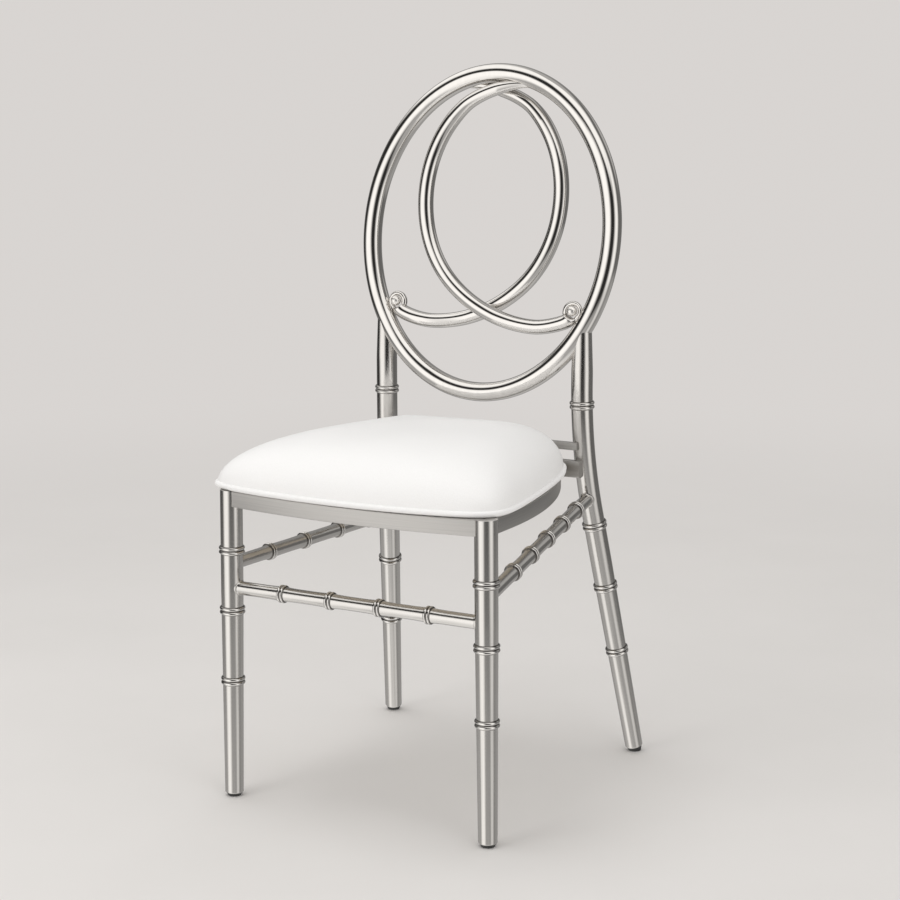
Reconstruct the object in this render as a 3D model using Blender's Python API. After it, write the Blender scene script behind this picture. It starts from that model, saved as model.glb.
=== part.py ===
"""Metal dining chair with an oval back, two crossing scroll loops, ringed legs and a crowned seat pad.

Metres, +Z up. The chair stands on z = 0 and faces -Y. It is symmetric about x = 0, apart from the loops,
which cross one in front of the other, and the side stretchers, of which the right one climbs to the rear.
Left and right are as seen from the front.
"""
from math import cos, hypot, pi, radians, sin, sqrt, tan

import bmesh
import bpy
import numpy as np

# Fits
CLEARANCE = 0.0003          # gap between pieces that touch or are welded
SCREW_CLEARANCE = 0.0004    # play round a screw shank

# Overall
FRAME_TOP = 0.3985          # floor to the top of the front legs and seat rails
OVAL_RISE = 0.0820          # seat frame's top to the underside of the oval
STANCE_WIDTH = 0.382        # between the rear feet
STANCE_DEPTH = 0.411        # from the front feet to the rear feet

# Legs
LEG_DIAMETER = 0.028
FOOT_DIAMETER = 0.0235
TAPER_SHARE = 0.68          # the legs thin down below this share of the seat frame's height
FOOT_LIP = 0.0012           # rounded edge of a leg's lower end
FRONT_FOOT_SHARE = 0.9607   # of half the stance width, as the next two
FRONT_TOP_SHARE = 0.9398
POST_SPREAD_SHARE = 0.7681
FRONT_SHARE = 0.4599        # how far the front feet stand ahead of the origin, of the stance depth
POST_SHARE = 0.7866         # and how far the posts stand behind the front feet
POST_TIP_DIAMETER = 0.0240  # the post is swaged where it is welded under the oval
POST_TIP_LENGTH = 0.055
BEND_RISE = 0.0272          # above the seat frame's top, where the raked leg and the post would meet
BEND_RADIUS = 0.750

# Feet
GLIDE_HEIGHT = 0.0045
GLIDE_DIAMETER = 0.0212
GLIDE_BASE_DIAMETER = 0.0176
STEM_DIAMETER = 0.0120
STEM_LENGTH = 0.018

# Oval back
OVAL_WIDTH_SHARE = 0.9304   # across the tube's centre line, of the stance width
OVAL_HEIGHT = 0.4192        # along the leaning back, on the tube's centre line
OVAL_TUBE = 0.025
BACK_LEAN = radians(8.5)

# Crossing loops, placed in the plane of the oval as shares of its half width and half height
LOOP_TUBE = 0.0205
LOOP_ARM_TUBE = 0.0162
LOOP_TIP_TUBE = 0.0156      # where a loop dies into the oval's top
CURL_TUBE = 0.0078
CURL_END_TUBE = 0.0062
LOOP_WIDTH_SHARE = 0.7034   # of the oval's half width
LOOP_HEIGHT_SHARE = 0.7013  # of the oval's half height
LOOP_SHIFT_SHARE = 0.1688   # each loop's ellipse is centred this far past the middle
LOOP_RISE_SHARE = 0.2290    # and this far above it
RELEASE_SHARE = 0.2767      # below the oval's centre, where a loop leaves its ellipse
ARM_OUT_SHARE = 0.4221      # the arm's lowest point, out from the middle
ARM_DROP_SHARE = 0.5773     # and below it
SCROLL_BALL_DIAMETER = 0.0124
SCROLL_TOUCH = radians(-30.6)
CURL_START = radians(-70)
CURL_TURN = radians(255)
LOOP_SETBACK = 0.004        # the crossing pair sits this far behind the oval's middle plane
SWING_FADE = 0.6            # share of the lower swing after which a loop eases back to that plane

# Seat frame
RAIL_HEIGHT = 0.020
RAIL_THICKNESS = 0.012
FRONT_RAIL_LEAD = 0.0097    # the front rail's face stands this far ahead of the leg axes
FRONT_RAIL_BOW = 0.0175
SIDE_RAIL_OUT = 0.0075      # the side rail's face stands this far outside the leg axis
SIDE_RAIL_STRAIGHT = 0.049  # straight run behind the leg axis before the curve
SIDE_RAIL_RADIUS = 0.575
REAR_RAIL_HEIGHT = 0.022
REAR_RAIL_LIFT = 0.0125     # underside of the rear rail above the underside of the others
REAR_RAIL_DEPTH = 0.010
REAR_RAIL_OVERHANG = 0.005  # past the post axes
REAR_RAIL_SEAT = 0.006      # how far the rail stands ahead of the post axes
STOP_BAR_HEIGHT = 0.010
STOP_BAR_DEPTH = 0.008
STOP_BAR_LIFT = 0.028       # underside above the seat frame's top

# Stretchers
STRETCHER_DIAMETER = 0.017
FRONT_STRETCHER_SHARE = 0.6868  # of the seat frame's height
SIDE_STRETCHER_DROP = 0.0042    # clear of the front legs' upper collars, at the front end
LEFT_STRETCHER_DROP = 0.0006    # clear of the rear collar, which its rear end passes under
RIGHT_STRETCHER_DROP = 0.0083   # its rear end is this far below the seat rails

# Double-bead collars
BEAD_PITCH = 0.0054
BEAD_STAND = 0.0023
STRETCHER_BEAD_PITCH = 0.0046
STRETCHER_BEAD_STAND = 0.0021
BEAD_FOOT = 0.33            # height of a collar's end over the tube, as a share of its stand
BEAD_WAIST = 0.55           # depth of the groove between the beads, as a share of their stand
FRONT_COLLAR_SHARES = (0.8073, 0.6130, 0.3832)  # of the seat frame's height
REAR_COLLAR_SHARES = (0.8118, 0.5977, 0.3694)
POST_COLLAR_RISE = 0.0864       # the rear legs' top collar above the seat frame's top
FRONT_STRETCHER_COLLARS = (0.212, 0.404, 0.596, 0.788)
LEFT_STRETCHER_COLLARS = (0.219, 0.432, 0.648, 0.860)
RIGHT_STRETCHER_COLLARS = (0.239, 0.400, 0.556, 0.708, 0.853)

# Seat pad
PAD_OVERHANG = 0.0428       # the pad's front edge ahead of the front legs' axes
PAD_REAR_GAP = 0.001        # between the pad and the rear rail
PAD_WIDTH_SHARE = 0.9518    # half way back, of the stance width
PAD_TAPER = 0.0302          # the pad is wider at the front by this, narrower at the back
PAD_BOW = 0.032             # the front corners lie this far behind the middle of the front edge
FRONT_SQUARENESS = 13.0     # a higher value gives tighter corners
REAR_SQUARENESS = 8.0
CROWN_SQUARENESS = 3.0      # the cover rounds off the front corners higher up
CROWN_ROUNDING = 1.5        # how soon on the way up it has done so
CORNER_CROWDING = 0.5       # gathers the outline's points at the corners
PIPING_DIAMETER = 0.0072
BOARD_THICKNESS = 0.0080
CUSHION_INSET = 0.0012
CUSHION_CROWN = 0.0630
CROWN_SHIFT = 0.020         # the crown's peak lies behind the pad's middle
CROWN_POWER = 3.25
CROWN_EDGE = 3.1

# Pad fixings
TAB_THICKNESS = 0.003
TAB_LENGTH = 0.036
TAB_REACH = 0.030
FRONT_TAB_SHARE = 0.21      # of the way from the front legs to the rear rail
REAR_TAB_SHARE = 0.74
SCREW_DIAMETER = 0.005
SCREW_HEAD_DIAMETER = 0.010
SCREW_HEAD_CROWN = 0.008    # the head narrows to this on its outside
SCREW_HEAD_HEIGHT = 0.0032
SCREW_BITE = 0.006          # depth of thread in the board

# Facets
LEG_SIDES = 16
OVAL_SIDES = 12
OVAL_STEPS = 52
LOOP_SIDES = 10
STRETCHER_SIDES = 10
PIPING_SIDES = 6
SMALL_SIDES = 12
BEND_RINGS = 9
RAIL_STEPS = 13
PAD_STEPS = 44
CROWN_RINGS = 10

# Directions
SIDES = (("left", -1), ("right", 1))
UP = (0, 0, 1)
BACKWARDS = (0, 1, 0)


# Derived sizes
FRONT_LEG_Y = -STANCE_DEPTH * FRONT_SHARE
REAR_FOOT_Y = FRONT_LEG_Y + STANCE_DEPTH
POST_Y = FRONT_LEG_Y + STANCE_DEPTH * POST_SHARE
REAR_FOOT_X = STANCE_WIDTH / 2
FRONT_FOOT_X = REAR_FOOT_X * FRONT_FOOT_SHARE
FRONT_TOP_X = REAR_FOOT_X * FRONT_TOP_SHARE
POST_X = REAR_FOOT_X * POST_SPREAD_SHARE
PAD_FRONT = FRONT_LEG_Y - PAD_OVERHANG
PAD_HALF_WIDTH = REAR_FOOT_X * PAD_WIDTH_SHARE
TAPER_HEIGHT = FRAME_TOP * TAPER_SHARE
BEND_HEIGHT = FRAME_TOP + BEND_RISE
FRONT_STRETCHER_HEIGHT = FRAME_TOP * FRONT_STRETCHER_SHARE
FRONT_COLLAR_HEIGHTS = [FRAME_TOP * share for share in FRONT_COLLAR_SHARES]
REAR_COLLAR_HEIGHTS = [FRAME_TOP + POST_COLLAR_RISE, *(FRAME_TOP * share for share in REAR_COLLAR_SHARES)]
LEG_RADIUS = LEG_DIAMETER / 2
FOOT_RADIUS = FOOT_DIAMETER / 2
OVAL_A = REAR_FOOT_X * OVAL_WIDTH_SHARE
OVAL_B = OVAL_HEIGHT / 2
OVAL_RADIUS = OVAL_TUBE / 2
BACK_UP = np.array([0.0, sin(BACK_LEAN), cos(BACK_LEAN)])
BACK_FRONT = np.array([0.0, -cos(BACK_LEAN), sin(BACK_LEAN)])
POST_DROP = OVAL_B * sqrt(1 - (POST_X / OVAL_A) ** 2)
OVAL_CENTRE = np.array([0.0, POST_Y + POST_DROP * sin(BACK_LEAN),
                        FRAME_TOP + OVAL_RISE + OVAL_RADIUS + OVAL_B * cos(BACK_LEAN)])
POST_TOP = OVAL_CENTRE[2] - POST_DROP * cos(BACK_LEAN)
REAR_RAKE = hypot(REAR_FOOT_X - POST_X, REAR_FOOT_Y - POST_Y)
RAKE_X = (REAR_FOOT_X - POST_X) / REAR_RAKE
RAKE_Y = (REAR_FOOT_Y - POST_Y) / REAR_RAKE
RAKE_SLOPE = REAR_RAKE / BEND_HEIGHT
RAKE_ANGLE = np.arctan(RAKE_SLOPE)
BEND_TOP = BEND_HEIGHT + BEND_RADIUS * tan(RAKE_ANGLE / 2)
BEND_BOTTOM = BEND_TOP - BEND_RADIUS * sin(RAKE_ANGLE)
RAIL_BOTTOM = FRAME_TOP - RAIL_HEIGHT
REAR_RAIL_BOTTOM = RAIL_BOTTOM + REAR_RAIL_LIFT
STOP_BAR_BOTTOM = FRAME_TOP + STOP_BAR_LIFT
SIDE_STRETCHER_FRONT = FRONT_COLLAR_HEIGHTS[0] - BEAD_PITCH - STRETCHER_DIAMETER / 2 - SIDE_STRETCHER_DROP
REAR_COLLAR_DIP = BEAD_PITCH * cos(RAKE_ANGLE) + (LEG_RADIUS + BEAD_STAND) * sin(RAKE_ANGLE)
LEFT_STRETCHER_TOP = REAR_COLLAR_HEIGHTS[1] - REAR_COLLAR_DIP - LEFT_STRETCHER_DROP
LEFT_STRETCHER_REAR = LEFT_STRETCHER_TOP - STRETCHER_DIAMETER / 2
RIGHT_STRETCHER_REAR = RAIL_BOTTOM - STRETCHER_DIAMETER / 2 - RIGHT_STRETCHER_DROP
BOARD_BOTTOM = FRAME_TOP + CLEARANCE
BOARD_TOP = BOARD_BOTTOM + BOARD_THICKNESS
CUSHION_BOTTOM = BOARD_TOP + CLEARANCE


def material(name, colour, roughness, metallic):
    """A plain surface with its colour, roughness and metallic value."""
    mat = bpy.data.materials.new(name)
    mat.use_nodes = True
    shader = mat.node_tree.nodes["Principled BSDF"]
    shader.inputs["Base Color"].default_value = (*colour, 1.0)
    shader.inputs["Roughness"].default_value = roughness
    shader.inputs["Metallic"].default_value = metallic
    return mat


def add_object(name, points, faces, mat):
    """A named mesh object, shaded smooth on its round faces."""
    mesh = bpy.data.meshes.new(name)
    mesh.from_pydata([tuple(map(float, p)) for p in points], [], faces)
    mesh.materials.append(mat)
    mesh.shade_smooth()
    mesh.set_sharp_from_angle(angle=radians(40))
    obj = bpy.data.objects.new(name, mesh)
    bpy.context.scene.collection.objects.link(obj)
    return obj


def loft(name, centres, directions, radii, reference, sides, mat, closed=False):
    """Round rings of the given radii, square to the given directions, skinned into one closed body.

    The reference vector fixes where each ring starts, so that neighbouring pieces share their facets.
    """
    centres = np.asarray(centres, float)
    directions = np.asarray(directions, float)
    directions /= np.linalg.norm(directions, axis=1)[:, None]
    reference = np.asarray(reference, float)
    first = reference - directions * (directions @ reference)[:, None]
    first /= np.linalg.norm(first, axis=1)[:, None]
    second = np.cross(directions, first)
    turn = np.arange(sides) * 2 * pi / sides
    spokes = (np.cos(turn)[None, :, None] * first[:, None, :]
              + np.sin(turn)[None, :, None] * second[:, None, :])
    points = centres[:, None, :] + np.asarray(radii, float)[:, None, None] * spokes
    rings = len(centres)
    faces = []
    for i in range(rings if closed else rings - 1):
        lower = i * sides
        upper = (i + 1) % rings * sides
        for j in range(sides):
            k = (j + 1) % sides
            faces.append((lower + j, lower + k, upper + k, upper + j))
    if not closed:
        faces.append(tuple(reversed(range(sides))))
        faces.append(tuple(range((rings - 1) * sides, rings * sides)))
    return add_object(name, points.reshape(-1, 3), faces, mat)


def turned(name, origin, axis, profile, reference, sides, mat, closed=False):
    """A turned piece: profile pairs are the distance along the axis and the radius there."""
    along = np.array([p[0] for p in profile])
    radii = np.array([p[1] for p in profile])
    axis = np.asarray(axis, float) / np.linalg.norm(axis)
    centres = np.asarray(origin, float) + along[:, None] * axis
    directions = np.repeat(axis[None, :], len(profile), 0)
    return loft(name, centres, directions, radii, reference, sides, mat, closed)


def curved_bar(name, outer, inner, bottom, top, mat):
    """A flat bar of rectangular section between two plan curves."""
    points = []
    for (xo, yo), (xi, yi) in zip(outer, inner):
        points += [(xo, yo, bottom), (xo, yo, top), (xi, yi, top), (xi, yi, bottom)]
    faces = [(0, 1, 2, 3)]
    for i in range(len(outer) - 1):
        a = 4 * i
        for j in range(4):
            k = (j + 1) % 4
            faces.append((a + j, a + j + 4, a + k + 4, a + k))
    last = 4 * (len(outer) - 1)
    faces.append((last + 3, last + 2, last + 1, last))
    obj = add_object(name, points, faces, mat)
    face_outwards(obj)
    return obj


def prism(name, outline, bottom, top, mat):
    """A plate with the given plan outline."""
    count = len(outline)
    points = [(x, y, bottom) for x, y in outline] + [(x, y, top) for x, y in outline]
    faces = [tuple(reversed(range(count))), tuple(range(count, 2 * count))]
    for i in range(count):
        j = (i + 1) % count
        faces.append((i, j, j + count, i + count))
    obj = add_object(name, points, faces, mat)
    face_outwards(obj)
    return obj


def face_outwards(obj):
    """Turn every face of a closed mesh to the outside."""
    shape = bmesh.new()
    shape.from_mesh(obj.data)
    bmesh.ops.recalc_face_normals(shape, faces=shape.faces)
    shape.to_mesh(obj.data)
    shape.free()


def cut(obj, cutter):
    """Take the cutter's space out of the piece."""
    step = obj.modifiers.new("cope_" + cutter.name, "BOOLEAN")
    step.operation = "DIFFERENCE"
    step.solver = "EXACT"
    step.object = cutter


def as_cutter(obj):
    """A shape that only cuts others."""
    obj.hide_render = True
    obj.display_type = "WIRE"
    return obj


def bore(obj, name, x, y, bottom, top, radius):
    """A drilled hole along z."""
    profile = ((bottom, radius), (top, radius))
    tool = turned(name, (x, y, 0), UP, profile, (1, 0, 0), SMALL_SIDES, obj.data.materials[0])
    cut(obj, as_cutter(tool))


# Leg axes
def front_axis(side, z):
    """Point on a front leg's axis: a straight line from the foot to the seat frame's top."""
    share = z / FRAME_TOP
    return np.array([side * (FRONT_FOOT_X + (FRONT_TOP_X - FRONT_FOOT_X) * share), FRONT_LEG_Y, z])


def front_direction(side):
    """Direction of a front leg's axis, upwards."""
    return front_axis(side, FRAME_TOP) - front_axis(side, 0.0)


def rear_axis(side, z):
    """Point on a rear leg's axis: raked from the foot, an arc through the bend, then an upright post."""
    if z <= BEND_BOTTOM:
        offset = RAKE_SLOPE * (BEND_HEIGHT - z)
    elif z < BEND_TOP:
        offset = BEND_RADIUS - sqrt(BEND_RADIUS ** 2 - (BEND_TOP - z) ** 2)
    else:
        offset = 0.0
    return np.array([side * (POST_X + RAKE_X * offset), POST_Y + RAKE_Y * offset, z])


def rear_direction(side, z):
    """Direction of a rear leg's axis at a height, upwards."""
    run = min(max(BEND_TOP - z, 0.0), BEND_TOP - BEND_BOTTOM)
    slope = run / sqrt(BEND_RADIUS ** 2 - run ** 2)
    return np.array([-side * RAKE_X * slope, -RAKE_Y * slope, 1.0])


def leg_radius(z):
    """The legs are parallel down to the taper and thin evenly from there to the foot."""
    return FOOT_RADIUS + (LEG_RADIUS - FOOT_RADIUS) * min(1.0, z / TAPER_HEIGHT)


def post_radius(z):
    """As a leg, with the swaged tip under the oval."""
    start = POST_TOP - POST_TIP_LENGTH
    share = min(1.0, max(0.0, (z - start) / POST_TIP_LENGTH))
    return leg_radius(z) + (POST_TIP_DIAMETER / 2 - LEG_RADIUS) * share


def socket_rings(end_point, direction, end_radius):
    """Rings of a leg's lower end: the blind socket for the glide's stem, then the rounded lip."""
    direction = direction / np.linalg.norm(direction)
    hole = STEM_DIAMETER / 2 + CLEARANCE
    depth = STEM_LENGTH + 2 * CLEARANCE
    steps = ((depth, hole), (0.0, hole), (0.0, end_radius - FOOT_LIP), (FOOT_LIP, end_radius))
    centres = [end_point + direction * s for s, _ in steps]
    return centres, [direction] * len(steps), [r for _, r in steps]


def front_leg_rings(side):
    """Ring centres, directions and radii of a front leg from its socket to its top."""
    direction = front_direction(side)
    end_point = front_axis(side, GLIDE_HEIGHT)
    centres, directions, radii = socket_rings(end_point, direction, leg_radius(GLIDE_HEIGHT))
    for z in (TAPER_HEIGHT, FRAME_TOP):
        centres.append(front_axis(side, z))
        directions.append(direction)
        radii.append(leg_radius(z))
    return centres, directions, radii


def rear_end_height():
    """Axis height of a rear leg's lower end, whose lowest edge clears the floor by the glide's height."""
    return GLIDE_HEIGHT + FOOT_RADIUS * sin(RAKE_ANGLE)


def rear_leg_rings(side):
    """Ring centres, directions and radii of a rear leg from its socket to the oval's centre line."""
    low = rear_end_height()
    end_point = rear_axis(side, low)
    centres, directions, radii = socket_rings(end_point, rear_direction(side, low), leg_radius(low))
    bend = np.linspace(BEND_BOTTOM, BEND_TOP, BEND_RINGS)
    tip = (POST_TOP - POST_TIP_LENGTH, POST_TOP)
    for z in (TAPER_HEIGHT, *bend, *tip):
        centres.append(rear_axis(side, z))
        directions.append(rear_direction(side, z))
        radii.append(post_radius(z))
    return centres, directions, radii


def rake_plane_normal(side):
    """Level vector square to the plane that a rear leg bends in."""
    return (RAKE_Y, -side * RAKE_X, 0.0)


def fatter_leg(name, rings, reference):
    """The leg's outer skin grown by the clearance and run on past its top, to cope what is welded to it."""
    centres, directions, radii = rings
    ends = [*centres[3:-1], centres[-1] + np.array([0.0, 0.0, LEG_RADIUS])]
    grown = np.array(radii[3:]) + CLEARANCE
    return as_cutter(loft(name, ends, directions[3:], grown, reference, LEG_SIDES, STEEL))


def make_legs():
    """Four legs, and the four shapes that cope the pieces welded to them."""
    tools = {"oval": as_cutter(oval_ring("cope_oval", CLEARANCE))}
    for word, side in SIDES:
        rings = front_leg_rings(side)
        loft("front_leg_" + word, *rings, BACKWARDS, LEG_SIDES, STEEL)
        tools["front_" + word] = fatter_leg("cope_front_leg_" + word, rings, BACKWARDS)
        rings = rear_leg_rings(side)
        leg = loft("rear_leg_" + word, *rings, rake_plane_normal(side), LEG_SIDES, STEEL)
        cut(leg, tools["oval"])
        tools["rear_" + word] = fatter_leg("cope_rear_leg_" + word, rings, rake_plane_normal(side))
    return tools


def make_glides():
    """Plastic feet: a tapered pad cut level with the floor, with a stem up the leg's socket."""
    for word, side in SIDES:
        low = rear_end_height()
        glide("foot_glide_front_" + word, front_axis(side, GLIDE_HEIGHT), front_direction(side), BACKWARDS)
        glide("foot_glide_rear_" + word, rear_axis(side, low), rear_direction(side, low),
              rake_plane_normal(side))


def glide(name, end_point, direction, reference):
    """One foot: turned about the leg's axis, then cut off flat at the floor."""
    reach = end_point[2] * 2
    profile = ((-reach, GLIDE_BASE_DIAMETER / 2), (-CLEARANCE, GLIDE_DIAMETER / 2),
               (-CLEARANCE, STEM_DIAMETER / 2), (STEM_LENGTH, STEM_DIAMETER / 2))
    foot = turned(name, end_point, direction, profile, reference, SMALL_SIDES, RUBBER)
    shape = bmesh.new()
    shape.from_mesh(foot.data)
    everything = shape.verts[:] + shape.edges[:] + shape.faces[:]
    cut_line = bmesh.ops.bisect_plane(shape, geom=everything, plane_co=(0, 0, 0), plane_no=(0, 0, -1),
                                      clear_outer=True)["geom_cut"]
    rim = [e for e in cut_line if isinstance(e, bmesh.types.BMEdge)]
    bmesh.ops.contextual_create(shape, geom=rim)
    bmesh.ops.recalc_face_normals(shape, faces=shape.faces)
    shape.to_mesh(foot.data)
    shape.free()


# Back
def on_back(x, up, ahead=0.0):
    """World points of positions in the leaning plane of the oval."""
    x = np.atleast_1d(np.asarray(x, float))
    up = np.broadcast_to(np.asarray(up, float), x.shape)
    ahead = np.broadcast_to(np.asarray(ahead, float), x.shape)
    across = x[:, None] * np.array([1.0, 0.0, 0.0])
    return OVAL_CENTRE + across + up[:, None] * BACK_UP + ahead[:, None] * BACK_FRONT


def oval_ring(name, grow):
    """The oval tube, or the same tube grown to cope what is welded to it."""
    turn = np.arange(OVAL_STEPS) * 2 * pi / OVAL_STEPS
    centres = on_back(OVAL_A * np.cos(turn), OVAL_B * np.sin(turn))
    directions = on_back(-OVAL_A * np.sin(turn), OVAL_B * np.cos(turn)) - OVAL_CENTRE
    radii = np.full(OVAL_STEPS, OVAL_RADIUS + grow)
    return loft(name, centres, directions, radii, BACK_FRONT, OVAL_SIDES, POLISHED, closed=True)


def curve_between(start, start_way, end, end_way, count):
    """Smooth curve with the given end points and end directions, without its last point."""
    u = np.linspace(0, 1, count, endpoint=False)[:, None]
    pull = np.linalg.norm(end - start)
    return ((2 * u ** 3 - 3 * u ** 2 + 1) * start + (u ** 3 - 2 * u ** 2 + u) * pull * start_way
            + (3 * u ** 2 - 2 * u ** 3) * end + (u ** 3 - u ** 2) * pull * end_way)


def scroll_centre():
    """Centre of the right-hand scroll's ball: its curl touches the oval's inner side."""
    touch = np.array([OVAL_A * cos(SCROLL_TOUCH), OVAL_B * sin(SCROLL_TOUCH)])
    outward = np.array([cos(SCROLL_TOUCH) / OVAL_A, sin(SCROLL_TOUCH) / OVAL_B])
    outward /= np.linalg.norm(outward)
    return touch - outward * (OVAL_RADIUS + 2 * CLEARANCE + CURL_TUBE + SCROLL_BALL_DIAMETER / 2)


def loop_path():
    """Plane points, radii and share of full depth of the loop that ends in the right scroll.

    From the oval it runs straight to the upper crossing, follows an ellipse down the left side, swings
    through the lower crossing to the arm's lowest point, and curls round the scroll's ball.
    """
    oval = np.array([OVAL_A, OVAL_B])
    centre = oval * np.array([LOOP_SHIFT_SHARE, LOOP_RISE_SHARE])
    half = oval * np.array([LOOP_WIDTH_SHARE, LOOP_HEIGHT_SHARE])
    top_angle = np.arccos(-LOOP_SHIFT_SHARE / LOOP_WIDTH_SHARE)
    release_angle = pi + np.arcsin((RELEASE_SHARE + LOOP_RISE_SHARE) / LOOP_HEIGHT_SHARE)
    crossing = centre + half * np.array([cos(top_angle), sin(top_angle)])
    rising = half * np.array([sin(top_angle), -cos(top_angle)])
    rising /= np.linalg.norm(rising)
    tip = meet_oval(crossing, rising)
    straight = crossing + (tip - crossing) * np.linspace(1, 0, 4, endpoint=False)[:, None]
    angles = np.linspace(top_angle, release_angle, 20, endpoint=False)
    side = centre + half * np.stack([np.cos(angles), np.sin(angles)], 1)
    release = centre + half * np.array([cos(release_angle), sin(release_angle)])
    leaving = half * np.array([-sin(release_angle), cos(release_angle)])
    leaving /= np.linalg.norm(leaving)
    low = oval * np.array([ARM_OUT_SHARE, -ARM_DROP_SHARE])
    level = np.array([1.0, 0.0])
    swing = curve_between(release, leaving, low, level, 10)
    turn = CURL_START + CURL_TURN * np.linspace(0, 1, 13)
    curl_radii = np.linspace(CURL_TUBE, CURL_END_TUBE, len(turn)) / 2
    reach = SCROLL_BALL_DIAMETER / 2 + CLEARANCE + curl_radii
    curl = scroll_centre() + reach[:, None] * np.stack([np.cos(turn), np.sin(turn)], 1)
    joining = np.array([-sin(CURL_START), cos(CURL_START)])
    arm = curve_between(low, level, curl[0], joining, 5)
    path = np.concatenate([straight, side, swing, arm, curl])
    marks = np.cumsum([0, len(straight), len(side), len(swing), len(arm)])
    radii = np.interp(np.arange(len(path)), marks, np.array(
        [LOOP_TIP_TUBE, LOOP_TUBE, LOOP_TUBE, LOOP_ARM_TUBE, CURL_TUBE]) / 2)
    radii[marks[4]:] = curl_radii
    fade_start = marks[2] + SWING_FADE * len(swing)
    share = np.interp(np.arange(len(path)), [0, marks[1] - 1, fade_start, marks[3] + 2], [0, 1, 1, 0])
    return path, radii, share * share * (3 - 2 * share)


def meet_oval(point, way):
    """Where a line in the plane of the back reaches the oval's centre line."""
    scale = np.array([OVAL_A, OVAL_B])
    p = point / scale
    w = way / scale
    root = sqrt((p @ w) ** 2 - (w @ w) * (p @ p - 1))
    return point + way * ((root - p @ w) / (w @ w))


def make_back(tools):
    """The oval, the two loops that die into its top, and the balls in their scrolls."""
    oval_ring("back_oval", 0.0)
    path, radii, depth_share = loop_path()
    cross_depth = LOOP_TUBE / 2 + CLEARANCE
    for name, side in (("back_loop_front", 1), ("back_loop_rear", -1)):
        depth = depth_share * (side * cross_depth - LOOP_SETBACK)
        centres = on_back(side * path[:, 0], path[:, 1], depth)
        directions = np.gradient(centres, axis=0)
        loop = loft(name, centres, directions, radii, BACK_FRONT, LOOP_SIDES, POLISHED)
        cut(loop, tools["oval"])
    middle = scroll_centre()
    radius = SCROLL_BALL_DIAMETER / 2
    angles = np.linspace(-pi / 2, pi / 2, 8)[1:-1]
    profile = [(radius * sin(a), radius * cos(a)) for a in angles]
    for word, side in SIDES:
        point = on_back(side * middle[0], middle[1])[0]
        turned("scroll_ball_" + word, point, BACK_FRONT, profile, (1, 0, 0), SMALL_SIDES, POLISHED)


# Seat frame
def front_rail_y(x):
    """Front face of the bowed front rail."""
    return FRONT_LEG_Y - FRONT_RAIL_LEAD - FRONT_RAIL_BOW * (1 - (x / FRONT_TOP_X) ** 2)


def side_rail_x(y):
    """Outer face of the side rail: straight back from the front leg, then an arc inwards."""
    run = max(0.0, y - FRONT_LEG_Y - SIDE_RAIL_STRAIGHT)
    return FRONT_TOP_X + SIDE_RAIL_OUT - SIDE_RAIL_RADIUS + sqrt(SIDE_RAIL_RADIUS ** 2 - run ** 2)


def rear_rail_front():
    """Front face of the rear rail."""
    return POST_Y - REAR_RAIL_SEAT - REAR_RAIL_DEPTH


def make_seat_frame(tools):
    """Bowed front rail, two curved side rails, the rear rail and the bar behind the pad."""
    xs = np.linspace(-FRONT_TOP_X, FRONT_TOP_X, RAIL_STEPS)
    rail = curved_bar("seat_rail_front", [(x, front_rail_y(x)) for x in xs],
                      [(x, front_rail_y(x) + RAIL_THICKNESS) for x in xs], RAIL_BOTTOM, FRAME_TOP, STEEL)
    cut(rail, tools["front_left"])
    cut(rail, tools["front_right"])
    ys = np.linspace(FRONT_LEG_Y, rear_rail_front() - CLEARANCE, RAIL_STEPS)
    half = POST_X + REAR_RAIL_OVERHANG
    for word, side in SIDES:
        outer = [(side * side_rail_x(y), y) for y in ys]
        inner = [(side * (side_rail_x(y) - RAIL_THICKNESS), y) for y in ys]
        rail = curved_bar("seat_rail_" + word, outer, inner, RAIL_BOTTOM, FRAME_TOP, STEEL)
        cut(rail, tools["front_" + word])
    back = rear_rail_front() + REAR_RAIL_DEPTH
    cross_bar("seat_rail_rear", half, rear_rail_front(), back, REAR_RAIL_BOTTOM, REAR_RAIL_HEIGHT, tools)
    cross_bar("pad_stop_bar", POST_X, back - STOP_BAR_DEPTH, back, STOP_BAR_BOTTOM, STOP_BAR_HEIGHT, tools)


def cross_bar(name, half, front, back, bottom, height, tools):
    """A straight bar from post to post, coped to both."""
    ends = (-half, half)
    outer = [(x, front) for x in ends]
    inner = [(x, back) for x in ends]
    bar = curved_bar(name, outer, inner, bottom, bottom + height, STEEL)
    cut(bar, tools["rear_left"])
    cut(bar, tools["rear_right"])


# Stretchers and collars
def make_stretchers(tools):
    """Front and side stretchers, coped to the legs, with their collars."""
    ends = [front_axis(side, FRONT_STRETCHER_HEIGHT) for _, side in SIDES]
    stretcher("front", *ends, [tools["front_left"], tools["front_right"]], FRONT_STRETCHER_COLLARS)
    rear_heights = {"left": LEFT_STRETCHER_REAR, "right": RIGHT_STRETCHER_REAR}
    collars = {"left": LEFT_STRETCHER_COLLARS, "right": RIGHT_STRETCHER_COLLARS}
    for word, side in SIDES:
        start = front_axis(side, SIDE_STRETCHER_FRONT)
        end = rear_axis(side, rear_heights[word])
        stretcher(word, start, end, [tools["front_" + word], tools["rear_" + word]], collars[word])


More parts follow.
